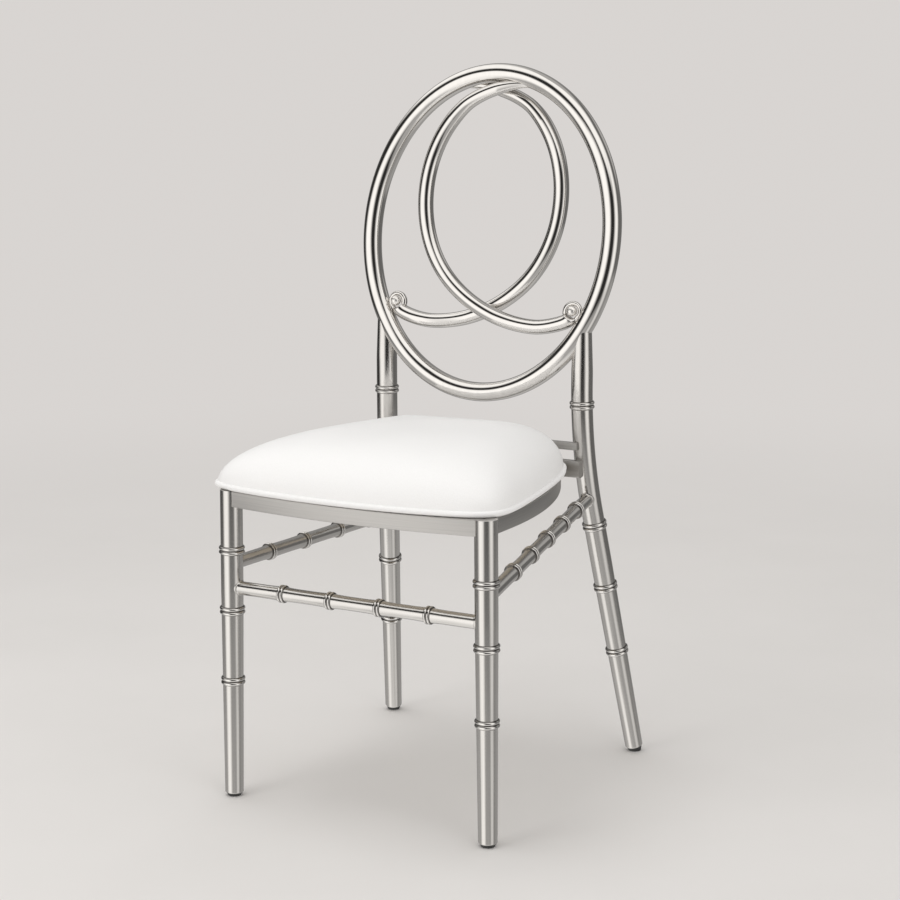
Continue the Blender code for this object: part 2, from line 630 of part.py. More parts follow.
def stretcher(word, start, end, legs, shares):
    """A straight tube between two leg axes, and its collars at the given shares of its length."""
    radius = STRETCHER_DIAMETER / 2
    way = end - start
    length = np.linalg.norm(way)
    profile = ((0.0, radius), (length, radius))
    tube = turned("stretcher_" + word, start, way, profile, UP, STRETCHER_SIDES, STEEL)
    for leg in legs:
        cut(tube, leg)
    for number, share in enumerate(shares, 1):
        name = "collar_stretcher_%s_%d" % (word, number)
        collar(name, start + way * share, way, (radius, radius), (STRETCHER_BEAD_PITCH, STRETCHER_BEAD_STAND),
               UP, STRETCHER_SIDES)


def collar(name, point, direction, tube_radii, bead, reference, sides):
    """A ring of two beads that fits round a tube, given its radii below and above and the beads' size."""
    pitch, stand = bead
    low, high = [r + CLEARANCE for r in tube_radii]
    crest = sum(tube_radii) / 2 + stand
    foot = stand * BEAD_FOOT
    waist = crest - stand * BEAD_WAIST
    profile = ((-pitch, low), (-pitch, low + foot), (-pitch / 2, crest), (0.0, waist), (pitch / 2, crest),
               (pitch, high + foot), (pitch, high))
    turned(name, point, direction, profile, reference, sides, POLISHED, closed=True)


def make_leg_collars():
    """Collars on all four legs."""
    bead = (BEAD_PITCH, BEAD_STAND)
    for word, side in SIDES:
        for number, z in enumerate(FRONT_COLLAR_HEIGHTS, 1):
            tube_radii = (leg_radius(z - BEAD_PITCH), leg_radius(z + BEAD_PITCH))
            collar("collar_front_leg_%s_%d" % (word, number), front_axis(side, z), front_direction(side),
                   tube_radii, bead, BACKWARDS, LEG_SIDES)
        for number, z in enumerate(REAR_COLLAR_HEIGHTS, 1):
            tube_radii = (post_radius(z - BEAD_PITCH), post_radius(z + BEAD_PITCH))
            collar("collar_rear_leg_%s_%d" % (word, number), rear_axis(side, z), rear_direction(side, z),
                   tube_radii, bead, rake_plane_normal(side), LEG_SIDES)


# Seat pad
def pad_outline(inset, front_squareness=FRONT_SQUARENESS):
    """Plan points of the pad: a rounded square, wider and bowed at the front, drawn in by the inset."""
    rear = rear_rail_front() - PAD_REAR_GAP
    turn = np.arange(PAD_STEPS) * 2 * pi / PAD_STEPS
    turn = turn + CORNER_CROWDING * np.sin(4 * turn) / 4
    n = np.where(np.sin(turn) > 0, REAR_SQUARENESS, front_squareness)
    reach = (np.abs(np.cos(turn)) ** n + np.abs(np.sin(turn)) ** n) ** (-1 / n)
    u = reach * np.cos(turn)
    v = reach * np.sin(turn)
    x = u * (PAD_HALF_WIDTH - PAD_TAPER * v)
    y = (PAD_FRONT + rear) / 2 + (rear - PAD_FRONT) / 2 * v + PAD_BOW * u * u * (1 - v) / 2
    points = np.stack([x, y], 1)
    along = np.roll(points, -1, 0) - np.roll(points, 1, 0)
    along /= np.linalg.norm(along, axis=1)[:, None]
    inward = np.stack([-along[:, 1], along[:, 0]], 1)
    return points + inset * inward


def make_pad():
    """Plywood board, piping round its edge and the crowned cushion on top."""
    radius = PIPING_DIAMETER / 2
    line = pad_outline(radius)
    centres = np.column_stack([line, np.full(len(line), BOARD_BOTTOM + radius)])
    ways = np.roll(centres, -1, 0) - np.roll(centres, 1, 0)
    radii = np.full(len(line), radius)
    loft("seat_piping", centres, ways, radii, UP, PIPING_SIDES, LEATHERETTE, closed=True)
    board = prism("seat_board", pad_outline(PIPING_DIAMETER + CLEARANCE), BOARD_BOTTOM, BOARD_TOP, PLYWOOD)
    middle = np.array([0.0, (PAD_FRONT + rear_rail_front()) / 2])
    peak = middle + np.array([0.0, CROWN_SHIFT])
    lift = np.sin(np.linspace(0, pi / 2, CROWN_RINGS + 1))[:-1]
    points = []
    for share in lift:
        spread = (1 - share ** CROWN_EDGE) ** (1 / CROWN_POWER)
        rounding = min(1.0, CROWN_ROUNDING * share)
        squareness = FRONT_SQUARENESS + (CROWN_SQUARENESS - FRONT_SQUARENESS) * rounding
        edge = pad_outline(CUSHION_INSET, squareness)
        ring = peak + (middle - peak) * spread + (edge - middle) * spread
        points += [(x, y, CUSHION_BOTTOM + CUSHION_CROWN * share) for x, y in ring]
    count = PAD_STEPS
    crown = len(points)
    points.append((*peak, CUSHION_BOTTOM + CUSHION_CROWN))
    faces = [tuple(reversed(range(count)))]
    for i in range(CROWN_RINGS):
        for j in range(count):
            k = (j + 1) % count
            low = i * count
            if i < CROWN_RINGS - 1:
                faces.append((low + j, low + k, low + k + count, low + j + count))
            else:
                faces.append((low + j, low + k, crown))
    add_object("seat_cushion", points, faces, LEATHERETTE)
    return board


def make_fixings(board):
    """Four tabs welded inside the side rails, each with a screw up into the board."""
    shank = SCREW_DIAMETER / 2
    hole = shank + SCREW_CLEARANCE
    tab_bottom = FRAME_TOP - TAB_THICKNESS
    span = rear_rail_front() - FRONT_LEG_Y
    for place, share in (("front", FRONT_TAB_SHARE), ("rear", REAR_TAB_SHARE)):
        y = FRONT_LEG_Y + span * share
        for word, side in SIDES:
            ends = (y - TAB_LENGTH / 2, y + TAB_LENGTH / 2)
            welded = [(side * (side_rail_x(e) - RAIL_THICKNESS - CLEARANCE), e) for e in ends]
            free_x = min(abs(x) for x, _ in welded) - TAB_REACH
            outline = [*welded, (side * free_x, ends[1]), (side * free_x, ends[0])]
            tag = place + "_" + word
            tab = prism("seat_tab_" + tag, outline, tab_bottom, FRAME_TOP, STEEL)
            x = side * (free_x + TAB_REACH / 2)
            bore(tab, "drill_tab_" + tag, x, y, tab_bottom - TAB_THICKNESS, FRAME_TOP + TAB_THICKNESS, hole)
            tip = BOARD_BOTTOM + SCREW_BITE
            end = tip + SCREW_CLEARANCE
            bore(board, "drill_board_" + tag, x, y, BOARD_BOTTOM - TAB_THICKNESS, end, hole)
            seat = tab_bottom - CLEARANCE
            profile = ((seat - SCREW_HEAD_HEIGHT, SCREW_HEAD_CROWN / 2), (seat, SCREW_HEAD_DIAMETER / 2),
                       (seat, shank), (tip, shank))
            turned("seat_screw_" + tag, (x, y, 0), UP, profile, (1, 0, 0), SMALL_SIDES, ZINC)


for old in list(bpy.data.objects):
    bpy.data.objects.remove(old)

STEEL = material("satin_steel", (0.62, 0.61, 0.59), 0.30, 1.0)
POLISHED = material("polished_steel", (0.74, 0.73, 0.71), 0.12, 1.0)
LEATHERETTE = material("white_leatherette", (0.86, 0.85, 0.84), 0.45, 0.0)
PLYWOOD = material("plywood", (0.62, 0.47, 0.30), 0.70, 0.0)
RUBBER = material("black_plastic", (0.02, 0.02, 0.02), 0.55, 0.0)
ZINC = material("zinc_screw", (0.60, 0.61, 0.63), 0.35, 1.0)

copes = make_legs()
make_glides()
make_back(copes)
make_seat_frame(copes)
make_stretchers(copes)
make_leg_collars()
make_fixings(make_pad())
print("smallest piece clearance", CLEARANCE, "m; oval centre", [round(float(c), 4) for c in OVAL_CENTRE])
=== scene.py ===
# %% [markdown]
# # A metal dining chair with an oval back
#
# The chair is a welded frame of steel tube: four ringed legs, ringed stretchers, a seat frame of flat bar
# and an oval back with two loops that cross inside it. A white pad is screwed on top of the seat frame. The
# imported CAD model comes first. It says where every piece is, but its tubes have flat facets, so this lesson
# makes each visible piece again as a smooth surface from the same sizes, and then gives it the finish of
# the real chair.

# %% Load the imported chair
from math import cos, hypot, pi, radians, sin, sqrt, tan

import bpy
import numpy as np
from mathutils import Matrix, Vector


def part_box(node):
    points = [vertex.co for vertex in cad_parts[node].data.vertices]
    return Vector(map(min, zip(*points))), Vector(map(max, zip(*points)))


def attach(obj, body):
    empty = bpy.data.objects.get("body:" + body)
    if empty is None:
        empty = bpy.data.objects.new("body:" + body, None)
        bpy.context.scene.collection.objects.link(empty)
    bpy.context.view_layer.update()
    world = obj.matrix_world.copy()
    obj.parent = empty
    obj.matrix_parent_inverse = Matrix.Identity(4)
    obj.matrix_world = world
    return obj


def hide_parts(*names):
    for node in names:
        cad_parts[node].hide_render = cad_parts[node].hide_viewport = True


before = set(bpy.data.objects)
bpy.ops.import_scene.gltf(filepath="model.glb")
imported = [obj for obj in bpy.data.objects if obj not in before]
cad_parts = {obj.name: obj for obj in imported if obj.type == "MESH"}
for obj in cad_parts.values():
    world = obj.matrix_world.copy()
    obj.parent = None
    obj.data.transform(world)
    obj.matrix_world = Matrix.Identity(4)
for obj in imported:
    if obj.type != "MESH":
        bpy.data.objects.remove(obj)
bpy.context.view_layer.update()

# %% [markdown]
# ## Camera
#
# The chair is seen from the front, turned so that its right side shows, and from a little above the seat.
# The camera looks at a point near the middle of the chair through a long lens, which keeps the legs nearly
# parallel. Its axes are worked out from the two angles, so the view can be turned by changing one number.

# %% Camera
AZIMUTH, ELEVATION, DISTANCE = radians(29.145), radians(10.35), 2.612
LENS_MM, SENSOR_MM = 81.92, 36.0
CHAIR_MIDDLE, AIM_SHIFT = np.array([0.0, 0.0, 0.45]), np.array([0.023, -0.016, 0.0])


def axes_towards(turn, elevation):
    """Right, up and back axes of what looks at the chair from an angle round its front and an elevation."""
    back = np.array([sin(turn) * cos(elevation), -cos(turn) * cos(elevation), sin(elevation)])
    right = np.array([cos(turn), sin(turn), 0.0])
    return np.stack([right, np.cross(back, right), back], 1)


def show(name, data, axes=np.eye(3), place=(0.0, 0.0, 0.0)):
    """A new object in the scene, at a place and along its axes."""
    shown = bpy.data.objects.new(name, data)
    matrix = np.eye(4)
    matrix[:3, :3], matrix[:3, 3] = axes, place
    shown.matrix_world = Matrix(matrix.tolist())
    bpy.context.scene.collection.objects.link(shown)
    return shown


axes = axes_towards(AZIMUTH, ELEVATION)
lens = bpy.data.cameras.new("studio_camera")
lens.lens, lens.sensor_width = LENS_MM, SENSOR_MM
camera = show("studio_camera", lens, axes, CHAIR_MIDDLE + axes @ AIM_SHIFT + DISTANCE * axes[:, 2])
bpy.context.scene.camera = camera
print("camera at", [round(c, 3) for c in camera.matrix_world.translation])

# %% [markdown]
# ## Finishes
#
# A finish is a small network of nodes round one Principled shader. What is the same all over a piece is set
# on the shader itself. What varies, such as the fine lines that a polishing belt leaves, comes from noise.
# On a bent tube such lines have to follow the bend, so each tube carries an attribute called unrolled:
# where its points would be if the tube were straightened along z. Noise that is stretched along z then runs
# along every tube.

# %% Helpers for finishes
def plain_finish(name, colour, roughness, metallic):
    """A Principled material with its even values set; returns the material, its shader and its nodes."""
    finish = bpy.data.materials.new(name)
    finish.use_nodes = True
    shader = finish.node_tree.nodes["Principled BSDF"]
    shader.inputs["Base Color"].default_value = (*colour, 1.0)
    shader.inputs["Roughness"].default_value = roughness
    shader.inputs["Metallic"].default_value = metallic
    return finish, shader, finish.node_tree


def add_node(tree, kind, inputs, **settings):
    """A new node with its settings; each input gets a value, or a link where an output is given."""
    node = tree.nodes.new(kind)
    for setting, value in settings.items():
        setattr(node, setting, value)
    for key, value in inputs.items():
        if isinstance(value, bpy.types.NodeSocket):
            tree.links.new(value, node.inputs[key])
        else:
            node.inputs[key].default_value = value
    return node


def object_place(tree):
    """The piece's own coordinates, in metres."""
    return add_node(tree, "ShaderNodeTexCoord", {}).outputs["Object"]


def stretched_noise(tree, place, stretch, detail):
    """Noise from 0 to 1 whose grains measure 1/stretch metres in each direction."""
    scaled = add_node(tree, "ShaderNodeMapping", {"Vector": place, "Scale": stretch})
    noise = add_node(tree, "ShaderNodeTexNoise", {"Vector": scaled.outputs["Vector"], "Scale": 1.0,
                                                  "Detail": detail, "Roughness": 0.55})
    return noise.outputs["Fac"]


def between(tree, share, low, high):
    """A number that runs from low to high while the share runs over the middle of the noise's range."""
    span = add_node(tree, "ShaderNodeMapRange", {"Value": share, "From Min": 0.3, "From Max": 0.7,
                                                 "To Min": low, "To Max": high})
    return span.outputs["Result"]


def colour_mix(tree, share, start, end):
    """A colour that runs from start to end with the share; an end may be a colour or a node's output.

    The Mix node has sockets for each kind of value: inputs 6 and 7 and output 2 are the colours.
    """
    return add_node(tree, "ShaderNodeMix", {0: share, 6: start, 7: end}, data_type="RGBA").outputs[2]


def two_tones(tree, share, dark, light):
    """A colour that runs from dark to light over the middle of the noise's range."""
    return colour_mix(tree, between(tree, share, 0.0, 1.0), (*dark, 1.0), (*light, 1.0))


def vary(tree, shader, share, tones, roughness):
    """Colour and roughness that follow the same noise, each between two values."""
    tree.links.new(two_tones(tree, share, *tones), shader.inputs["Base Color"])
    tree.links.new(between(tree, share, *roughness), shader.inputs["Roughness"])


def relief(tree, shader, height, strength, depth):
    """Fine relief on the surface, from a height between 0 and 1 and its depth in metres."""
    bump = add_node(tree, "ShaderNodeBump", {"Height": height, "Strength": strength, "Distance": depth})
    tree.links.new(bump.outputs["Normal"], shader.inputs["Normal"])


print("helpers for finishes are ready")

# %% [markdown]
# ### Satin steel
#
# The legs, stretchers and seat frame are brushed along their length. Seen close up the surface is a mass of
# hairlines; from across a room they join into soft streaks that make one strip of a leg a little brighter
# than the next. So there are two noises: hairlines 0.2 mm wide for relief, and streaks 2 mm wide for tone
# and gloss.

# %% Satin steel
def satin_steel(name, place_of, tone, roughness):
    """Brushed steel; place_of gives the coordinates that run along the piece as z."""
    steel = np.array([1.0, 0.972, 0.935])
    finish, shader, tree = plain_finish(name, tone * steel, roughness, 1.0)
    place = place_of(tree)
    hairlines = stretched_noise(tree, place, (5000, 5000, 45), 2.0)
    streaks = stretched_noise(tree, place, (520, 520, 7), 3.0)
    tones = (tone - 0.04) * steel, (tone + 0.04) * steel
    vary(tree, shader, streaks, tones, (roughness - 0.04, roughness + 0.05))
    relief(tree, shader, hairlines, 0.10, 0.0002)
    return finish


def along_tube(tree):
    """Coordinates of the straightened tube."""
    return add_node(tree, "ShaderNodeAttribute", {}, attribute_name="unrolled").outputs["Vector"]


def along_depth(tree):
    """Object coordinates turned so that the front-to-back direction is z."""
    place = object_place(tree)
    turned = add_node(tree, "ShaderNodeMapping", {"Vector": place, "Rotation": (radians(90), 0.0, 0.0)})
    return turned.outputs["Vector"]


SATIN = satin_steel("satin_steel_tube", along_tube, 0.66, 0.16)
SATIN_BAR = satin_steel("satin_steel_bar", along_tube, 0.52, 0.42)
SATIN_PLATE = satin_steel("satin_steel_plate", along_depth, 0.52, 0.42)
print("made", SATIN.name, SATIN_BAR.name, "and", SATIN_PLATE.name)

# %% [markdown]
# ### Polished steel
#
# The oval, the loops and the rings are polished until they mirror the room. A buffing wheel never leaves a
# perfect mirror: there is a faint haze that comes and goes, and the wall of a bent tube is very slightly
# uneven, so the bright lines on it waver a little. Haze is roughness from a wide noise; unevenness is a
# shallow, wide relief. The scroll balls are too small to buff well, so theirs is a duller version of the
# same finish, painted paler as well: a painted highlight that makes the small balls look brightly lit.

# %% Polished steel
def polished_steel(name, tone, clearest, dullest, waviness):
    """Mirror finish with a drifting haze, given by its two roughnesses, and slightly uneven walls."""
    steel = np.array([1.0, 0.973, 0.939])
    finish, shader, tree = plain_finish(name, tone * steel, clearest, 1.0)
    place = along_tube(tree)
    haze = stretched_noise(tree, place, (160, 160, 30), 3.0)
    unevenness = stretched_noise(tree, place, (60, 60, 24), 1.0)
    tones = (tone - 0.02) * steel, (tone + 0.03) * steel
    vary(tree, shader, haze, tones, (clearest, dullest))
    relief(tree, shader, unevenness, waviness, 0.0008)
    return finish


POLISHED = polished_steel("polished_steel_tube", 0.74, 0.05, 0.10, 0.15)
# Painted highlight: the beads' steel is painted much paler than the tubes' so that the small balls look
# brightly lit.
PAINTED_BRIGHT_BEAD_STEEL = polished_steel("polished_steel_bead_painted_bright", 0.94, 0.34, 0.40, 0.02)
print("made", POLISHED.name, "and", PAINTED_BRIGHT_BEAD_STEEL.name)

# %% [markdown]
# ### White leatherette
#
# The cover is a coated cloth with an embossed pebble grain about a millimetre wide. The pebbles are the
# cells of a Voronoi pattern, softened by noise so that they don't look like a honeycomb. The valleys
# between pebbles are painted slightly greyer than the tops, as painted shade, and the gloss drifts over
# wider patches, where the coat has been rubbed.

# %% White leatherette
def white_leatherette():
    """Coated cloth with a pebble grain: relief and painted shade in the valleys follow the same cells, gloss
    follows the wear.
    """
    finish, shader, tree = plain_finish("white_leatherette", (0.92, 0.912, 0.903), 0.46, 0.0)
    shader.inputs["Specular IOR Level"].default_value = 0.25
    place = object_place(tree)
    drift = stretched_noise(tree, place, (420, 420, 420), 2.0)
    warped = add_node(tree, "ShaderNodeVectorMath", {0: place}, operation="ADD")
    nudge = add_node(tree, "ShaderNodeMapRange", {"Value": drift, "To Min": -0.0004, "To Max": 0.0004})
    tree.links.new(nudge.outputs["Result"], warped.inputs[1])
    pebbles = add_node(tree, "ShaderNodeTexVoronoi", {"Vector": warped.outputs["Vector"], "Scale": 850.0,
                                                      "Smoothness": 0.6}, feature="SMOOTH_F1")
    height = add_node(tree, "ShaderNodeMapRange", {"Value": pebbles.outputs["Distance"], "From Min": 0.1,
                                                   "From Max": 0.75, "To Min": 1.0, "To Max": 0.0})
    wear = stretched_noise(tree, place, (18, 18, 18), 3.0)
    # Painted shade: the pebbles' valleys are coloured greyer than their tops.
    tree.links.new(two_tones(tree, height.outputs["Result"], (0.905, 0.898, 0.888), (0.930, 0.924, 0.916)),
                   shader.inputs["Base Color"])
    tree.links.new(between(tree, wear, 0.40, 0.52), shader.inputs["Roughness"])
    relief(tree, shader, height.outputs["Result"], 0.22, 0.00025)
    return finish


LEATHERETTE = white_leatherette()
print("made", LEATHERETTE.name)

# %% [markdown]
# ### Plastic, zinc and plywood
#
# Three finishes are hardly seen: the moulded feet, the screws under the seat and the board they hold. They
# still get their own character, because a chair is turned over sooner or later. The feet have the dull
# spark-eroded skin of moulded plastic, the screws a cloudy zinc plate, and the board the long grain of a
# veneer.

# %% Plastic, zinc and plywood
def black_plastic():
    """Moulded plastic with a fine dull skin."""
    finish, shader, tree = plain_finish("black_plastic", (0.02, 0.02, 0.02), 0.55, 0.0)
    place = object_place(tree)
    skin_grain = stretched_noise(tree, place, (2600, 2600, 2600), 2.0)
    scuffs = stretched_noise(tree, place, (240, 240, 240), 3.0)
    vary(tree, shader, scuffs, ((0.012, 0.012, 0.012), (0.032, 0.031, 0.030)), (0.48, 0.66))
    relief(tree, shader, skin_grain, 0.3, 0.0002)
    return finish


def zinc_plate():
    """Zinc plate with cloudy crystals."""
    finish, shader, tree = plain_finish("zinc_plate", (0.60, 0.61, 0.63), 0.35, 1.0)
    place = object_place(tree)
    clouds = stretched_noise(tree, place, (900, 900, 900), 4.0)
    vary(tree, shader, clouds, ((0.50, 0.51, 0.54), (0.68, 0.69, 0.70)), (0.28, 0.45))
    return finish


def plywood():
    """Veneer: long grain across the seat, with fine pores and wide bands of early and late wood."""
    finish, shader, tree = plain_finish("plywood", (0.64, 0.58, 0.50), 0.70, 0.0)
    place = object_place(tree)
    bands = stretched_noise(tree, place, (5, 60, 60), 4.0)
    pores = stretched_noise(tree, place, (90, 1800, 1800), 2.0)
    vary(tree, shader, bands, ((0.58, 0.53, 0.45), (0.71, 0.66, 0.58)), (0.62, 0.78))
    relief(tree, shader, pores, 0.25, 0.0003)
    return finish


BLACK = black_plastic()
ZINC = zinc_plate()
PLYWOOD = plywood()
print("made", BLACK.name, ZINC.name, PLYWOOD.name)

# %% [markdown]
# ## From rings to a mesh
#
# Almost every piece of this chair is a stack of rings: a ring of points for each step along a leg, an oval
# or a turned collar. A stack is a grid with two parameters, so its faces follow from counting rows and
# columns, and numpy can do that for the whole piece at once. Open ends are closed by a fan of triangles to
# a middle point.

# %% Skin over a stack of rings
SHARP_ANGLE = radians(38)


def unit(vectors):
    """Vectors of length 1 in the same directions."""
    return vectors / np.linalg.norm(vectors, axis=-1, keepdims=True)


def length_along(path):
    """Length so far at each point of a path: the steps' lengths added up."""
    return np.concatenate([[0], np.cumsum(np.linalg.norm(np.diff(path, axis=0), axis=1))])


def full_turn(count):
    """Angles of points that are evenly spaced once round."""
    return np.arange(count) * 2 * pi / count


def skin(name, rings, unrolled, finish, joined=False):
    """A mesh over rings of points, given as (steps, points round, 3).

    A face joins points j and j+1 of one ring with the same two of the next. Where joined is true, the last
    ring meets the first; otherwise each end gets a fan. unrolled holds the straightened place of every point.
    """
    steps, around = rings.shape[:2]
    i, j = np.meshgrid(np.arange(steps if joined else steps - 1), np.arange(around), indexing="ij")
    up, over = (i + 1) % steps, (j + 1) % around
    quads = np.stack([i * around + j, i * around + over, up * around + over, up * around + j], -1)
    faces = quads.reshape(-1, 4).tolist()
    points, places = rings.reshape(-1, 3), unrolled.reshape(-1, 3)
    if not joined:
        j = np.arange(around)
        over = (j + 1) % around
        last = (steps - 1) * around
        faces += np.stack([over, j, np.full(around, steps * around)], 1).tolist()
        faces += np.stack([last + j, last + over, np.full(around, steps * around + 1)], 1).tolist()
        points = np.concatenate([points, rings[[0, -1]].mean(1)])
        places = np.concatenate([places, unrolled[[0, -1]].mean(1)])
    mesh = bpy.data.meshes.new(name)
    mesh.from_pydata(points.tolist(), [], faces)
    mesh.materials.append(finish)
    mesh.shade_smooth()
    mesh.set_sharp_from_angle(angle=SHARP_ANGLE)
    attribute = mesh.attributes.new("unrolled", "FLOAT_VECTOR", "POINT")
    attribute.data.foreach_set("vector", places.astype(np.float32).ravel())
    return show(name, mesh)


def note(piece, attribute, values):
    """Gives each point of a piece one number of its own, for its finish to read."""
    values = np.asarray(values, np.float32)
    piece.data.attributes.new(attribute, "FLOAT", "POINT").data.foreach_set("value", values)


def stands_for(piece, slot, *nodes):
    """The piece is shown instead of its CAD nodes and moves with the chair; slot is not used."""
    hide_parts(*nodes)
    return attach(piece, "root")


def tube_rings(path, radii, reference, around=40, ways=None, joined=False):
    """Round rings along a path: point + radius * (cos turn * first + sin turn * second).

    first is the reference made square to the path's direction, second is square to both, and turn goes once
    round. The same rings on a straight tube are (radius * cos turn, radius * sin turn, length so far). ways
    may give the directions, one for each ring or one for all.
    """
    if ways is None:
        ways = np.roll(path, -1, 0) - np.roll(path, 1, 0) if joined else np.gradient(path, axis=0)
    ways, reference = unit(np.broadcast_to(ways, path.shape)), np.asarray(reference, float)
    first = unit(reference - ways * (ways @ reference)[:, None])
    second = np.cross(ways, first)
    turn = full_turn(around)
    out = np.cos(turn)[:, None] * first[:, None] + np.sin(turn)[:, None] * second[:, None]
    radii = np.broadcast_to(radii, len(path))[:, None]
    straight = [radii * np.cos(turn), radii * np.sin(turn), np.repeat(length_along(path)[:, None], around, 1)]
    return path[:, None] + radii[..., None] * out, np.stack(straight, -1)


SIDES = (("left", -1), ("right", 1))
UPWARDS = (0.0, 0.0, 1.0)
BACKWARDS = (0.0, 1.0, 0.0)
print("a stack of rings can now become a piece")

# %% [markdown]
# ## Legs
#
# A front leg is a straight tube that leans out a hair towards the foot and tapers below the upper third. A
# rear leg starts as a raked tube, goes through one slow bend at seat height and ends as an upright post
# under the oval. Both are paths with a radius at every height. The lower end has a rounded lip and a socket
# for the foot's stem.

# %% Where the legs run
FRAME_TOP = 0.3985
STANCE_WIDTH, STANCE_DEPTH = 0.382, 0.411
FRONT_FOOT_SHARE, FRONT_TOP_SHARE, POST_SPREAD_SHARE = 0.9607, 0.9398, 0.7681
FRONT_SHARE, POST_SHARE = 0.4599, 0.7866
BEND_RISE, BEND_RADIUS = 0.0272, 0.750

REAR_FOOT_X = STANCE_WIDTH / 2
FRONT_FOOT_X, FRONT_TOP_X = REAR_FOOT_X * FRONT_FOOT_SHARE, REAR_FOOT_X * FRONT_TOP_SHARE
POST_X = REAR_FOOT_X * POST_SPREAD_SHARE
FRONT_LEG_Y = -STANCE_DEPTH * FRONT_SHARE
REAR_FOOT_Y = FRONT_LEG_Y + STANCE_DEPTH
POST_Y = FRONT_LEG_Y + STANCE_DEPTH * POST_SHARE
BEND_HEIGHT = FRAME_TOP + BEND_RISE
RAKE = hypot(REAR_FOOT_X - POST_X, REAR_FOOT_Y - POST_Y)
RAKE_X, RAKE_Y = (REAR_FOOT_X - POST_X) / RAKE, (REAR_FOOT_Y - POST_Y) / RAKE
RAKE_ANGLE = float(np.arctan(RAKE / BEND_HEIGHT))
BEND_TOP = BEND_HEIGHT + BEND_RADIUS * tan(RAKE_ANGLE / 2)
BEND_BOTTOM = BEND_TOP - BEND_RADIUS * sin(RAKE_ANGLE)


def front_axis(side, z):
    """Axis of a front leg: x goes evenly from the foot's place to the top's, y stays."""
    z = np.asarray(z, float)
    x = side * (FRONT_FOOT_X + (FRONT_TOP_X - FRONT_FOOT_X) * z / FRAME_TOP)
    return np.stack([x, np.full(z.shape, FRONT_LEG_Y), z], -1)


def front_way(side):
    """Direction of a front leg's axis, from the floor to its top."""
    return front_axis(side, FRAME_TOP) - front_axis(side, 0.0)


def rear_axis(side, z):
    """Axis of a rear leg: a straight rake, then an arc, then upright."""
    z = np.asarray(z, float)
    raked = tan(RAKE_ANGLE) * (BEND_HEIGHT - z)
    drop = np.clip(BEND_TOP - z, 0, None)
    arc = BEND_RADIUS - np.sqrt(BEND_RADIUS ** 2 - drop ** 2)
    offset = np.where(z <= BEND_BOTTOM, raked, arc)
    return np.stack([side * (POST_X + RAKE_X * offset), POST_Y + RAKE_Y * offset, z], -1)


def rear_way(side, z):
    """Direction of a rear leg's axis: the slope of the rake or of the arc at that height."""
    run = np.clip(BEND_TOP - np.asarray(z, float), 0, BEND_TOP - BEND_BOTTOM)
    slope = run / np.sqrt(BEND_RADIUS ** 2 - run ** 2)
    return np.stack([-side * RAKE_X * slope, -RAKE_Y * slope, np.ones(slope.shape)], -1)


def rake_normal(side):
    """Level direction square to the plane that a rear leg bends in."""
    return (RAKE_Y, -side * RAKE_X, 0.0)


print("rear legs rake by", round(np.degrees(RAKE_ANGLE), 2), "degrees")

# %% [markdown]
# ### Plane of the back
#
# The posts end in the middle of the oval's tube, so the oval's place has to be known before the legs are
# made. The back is flat and leans, so its pieces are drawn on a plane, as across and up, and one function
# carries them into the room.

# %% Where the back is
OVAL_WIDTH_SHARE, OVAL_HEIGHT, OVAL_TUBE = 0.9304, 0.4192, 0.025
OVAL_RISE, BACK_LEAN = 0.0820, radians(8.5)

OVAL_A, OVAL_B = REAR_FOOT_X * OVAL_WIDTH_SHARE, OVAL_HEIGHT / 2
BACK_UP = np.array([0.0, sin(BACK_LEAN), cos(BACK_LEAN)])
BACK_FRONT = np.array([0.0, -cos(BACK_LEAN), sin(BACK_LEAN)])
POST_DROP = OVAL_B * sqrt(1 - (POST_X / OVAL_A) ** 2)
OVAL_CENTRE = np.array([0.0, POST_Y + POST_DROP * sin(BACK_LEAN),
                        FRAME_TOP + OVAL_RISE + OVAL_TUBE / 2 + OVAL_B * cos(BACK_LEAN)])
POST_TOP = float(OVAL_CENTRE[2] - POST_DROP * cos(BACK_LEAN))


def on_back(plane, ahead):
    """World points from (across, up) in the leaning plane of the oval and a distance ahead of it."""
    return (OVAL_CENTRE + plane[:, :1] * np.array([1.0, 0.0, 0.0]) + plane[:, 1:] * BACK_UP
            + np.broadcast_to(ahead, len(plane))[:, None] * BACK_FRONT)


print("the oval's middle is at", np.round(OVAL_CENTRE, 4), "and the posts reach up to", round(POST_TOP, 4))

# %% [markdown]
# ### Tubes of the legs
#
# A Blender curve with a round bevel would give the tube, but not the lip and the socket at its foot. A
# stack of rings gives all three: the first rings go up the socket, down it again and round the lip, and the
# others follow the leg's axis.

# %% Four legs
LEG_DIAMETER, FOOT_DIAMETER, TAPER_SHARE, FOOT_LIP = 0.028, 0.0235, 0.68, 0.0012
POST_TIP_DIAMETER, POST_TIP_LENGTH = 0.0240, 0.055
GLIDE_HEIGHT, STEM_DIAMETER, STEM_LENGTH = 0.0045, 0.0120, 0.018
CLEARANCE = 0.0003

TAPER_HEIGHT = FRAME_TOP * TAPER_SHARE
REAR_END = GLIDE_HEIGHT + FOOT_DIAMETER / 2 * sin(RAKE_ANGLE)


def leg_radius(z):
    """Even above the taper, then thinning in proportion to the height left."""
    return (FOOT_DIAMETER + (LEG_DIAMETER - FOOT_DIAMETER) * np.minimum(1, np.asarray(z) / TAPER_HEIGHT)) / 2


def post_radius(z):
    """As a leg, drawn in evenly over the tip under the oval."""
    tip = np.clip((np.asarray(z) - POST_TOP + POST_TIP_LENGTH) / POST_TIP_LENGTH, 0, 1)
    return leg_radius(z) + (POST_TIP_DIAMETER - LEG_DIAMETER) / 2 * tip


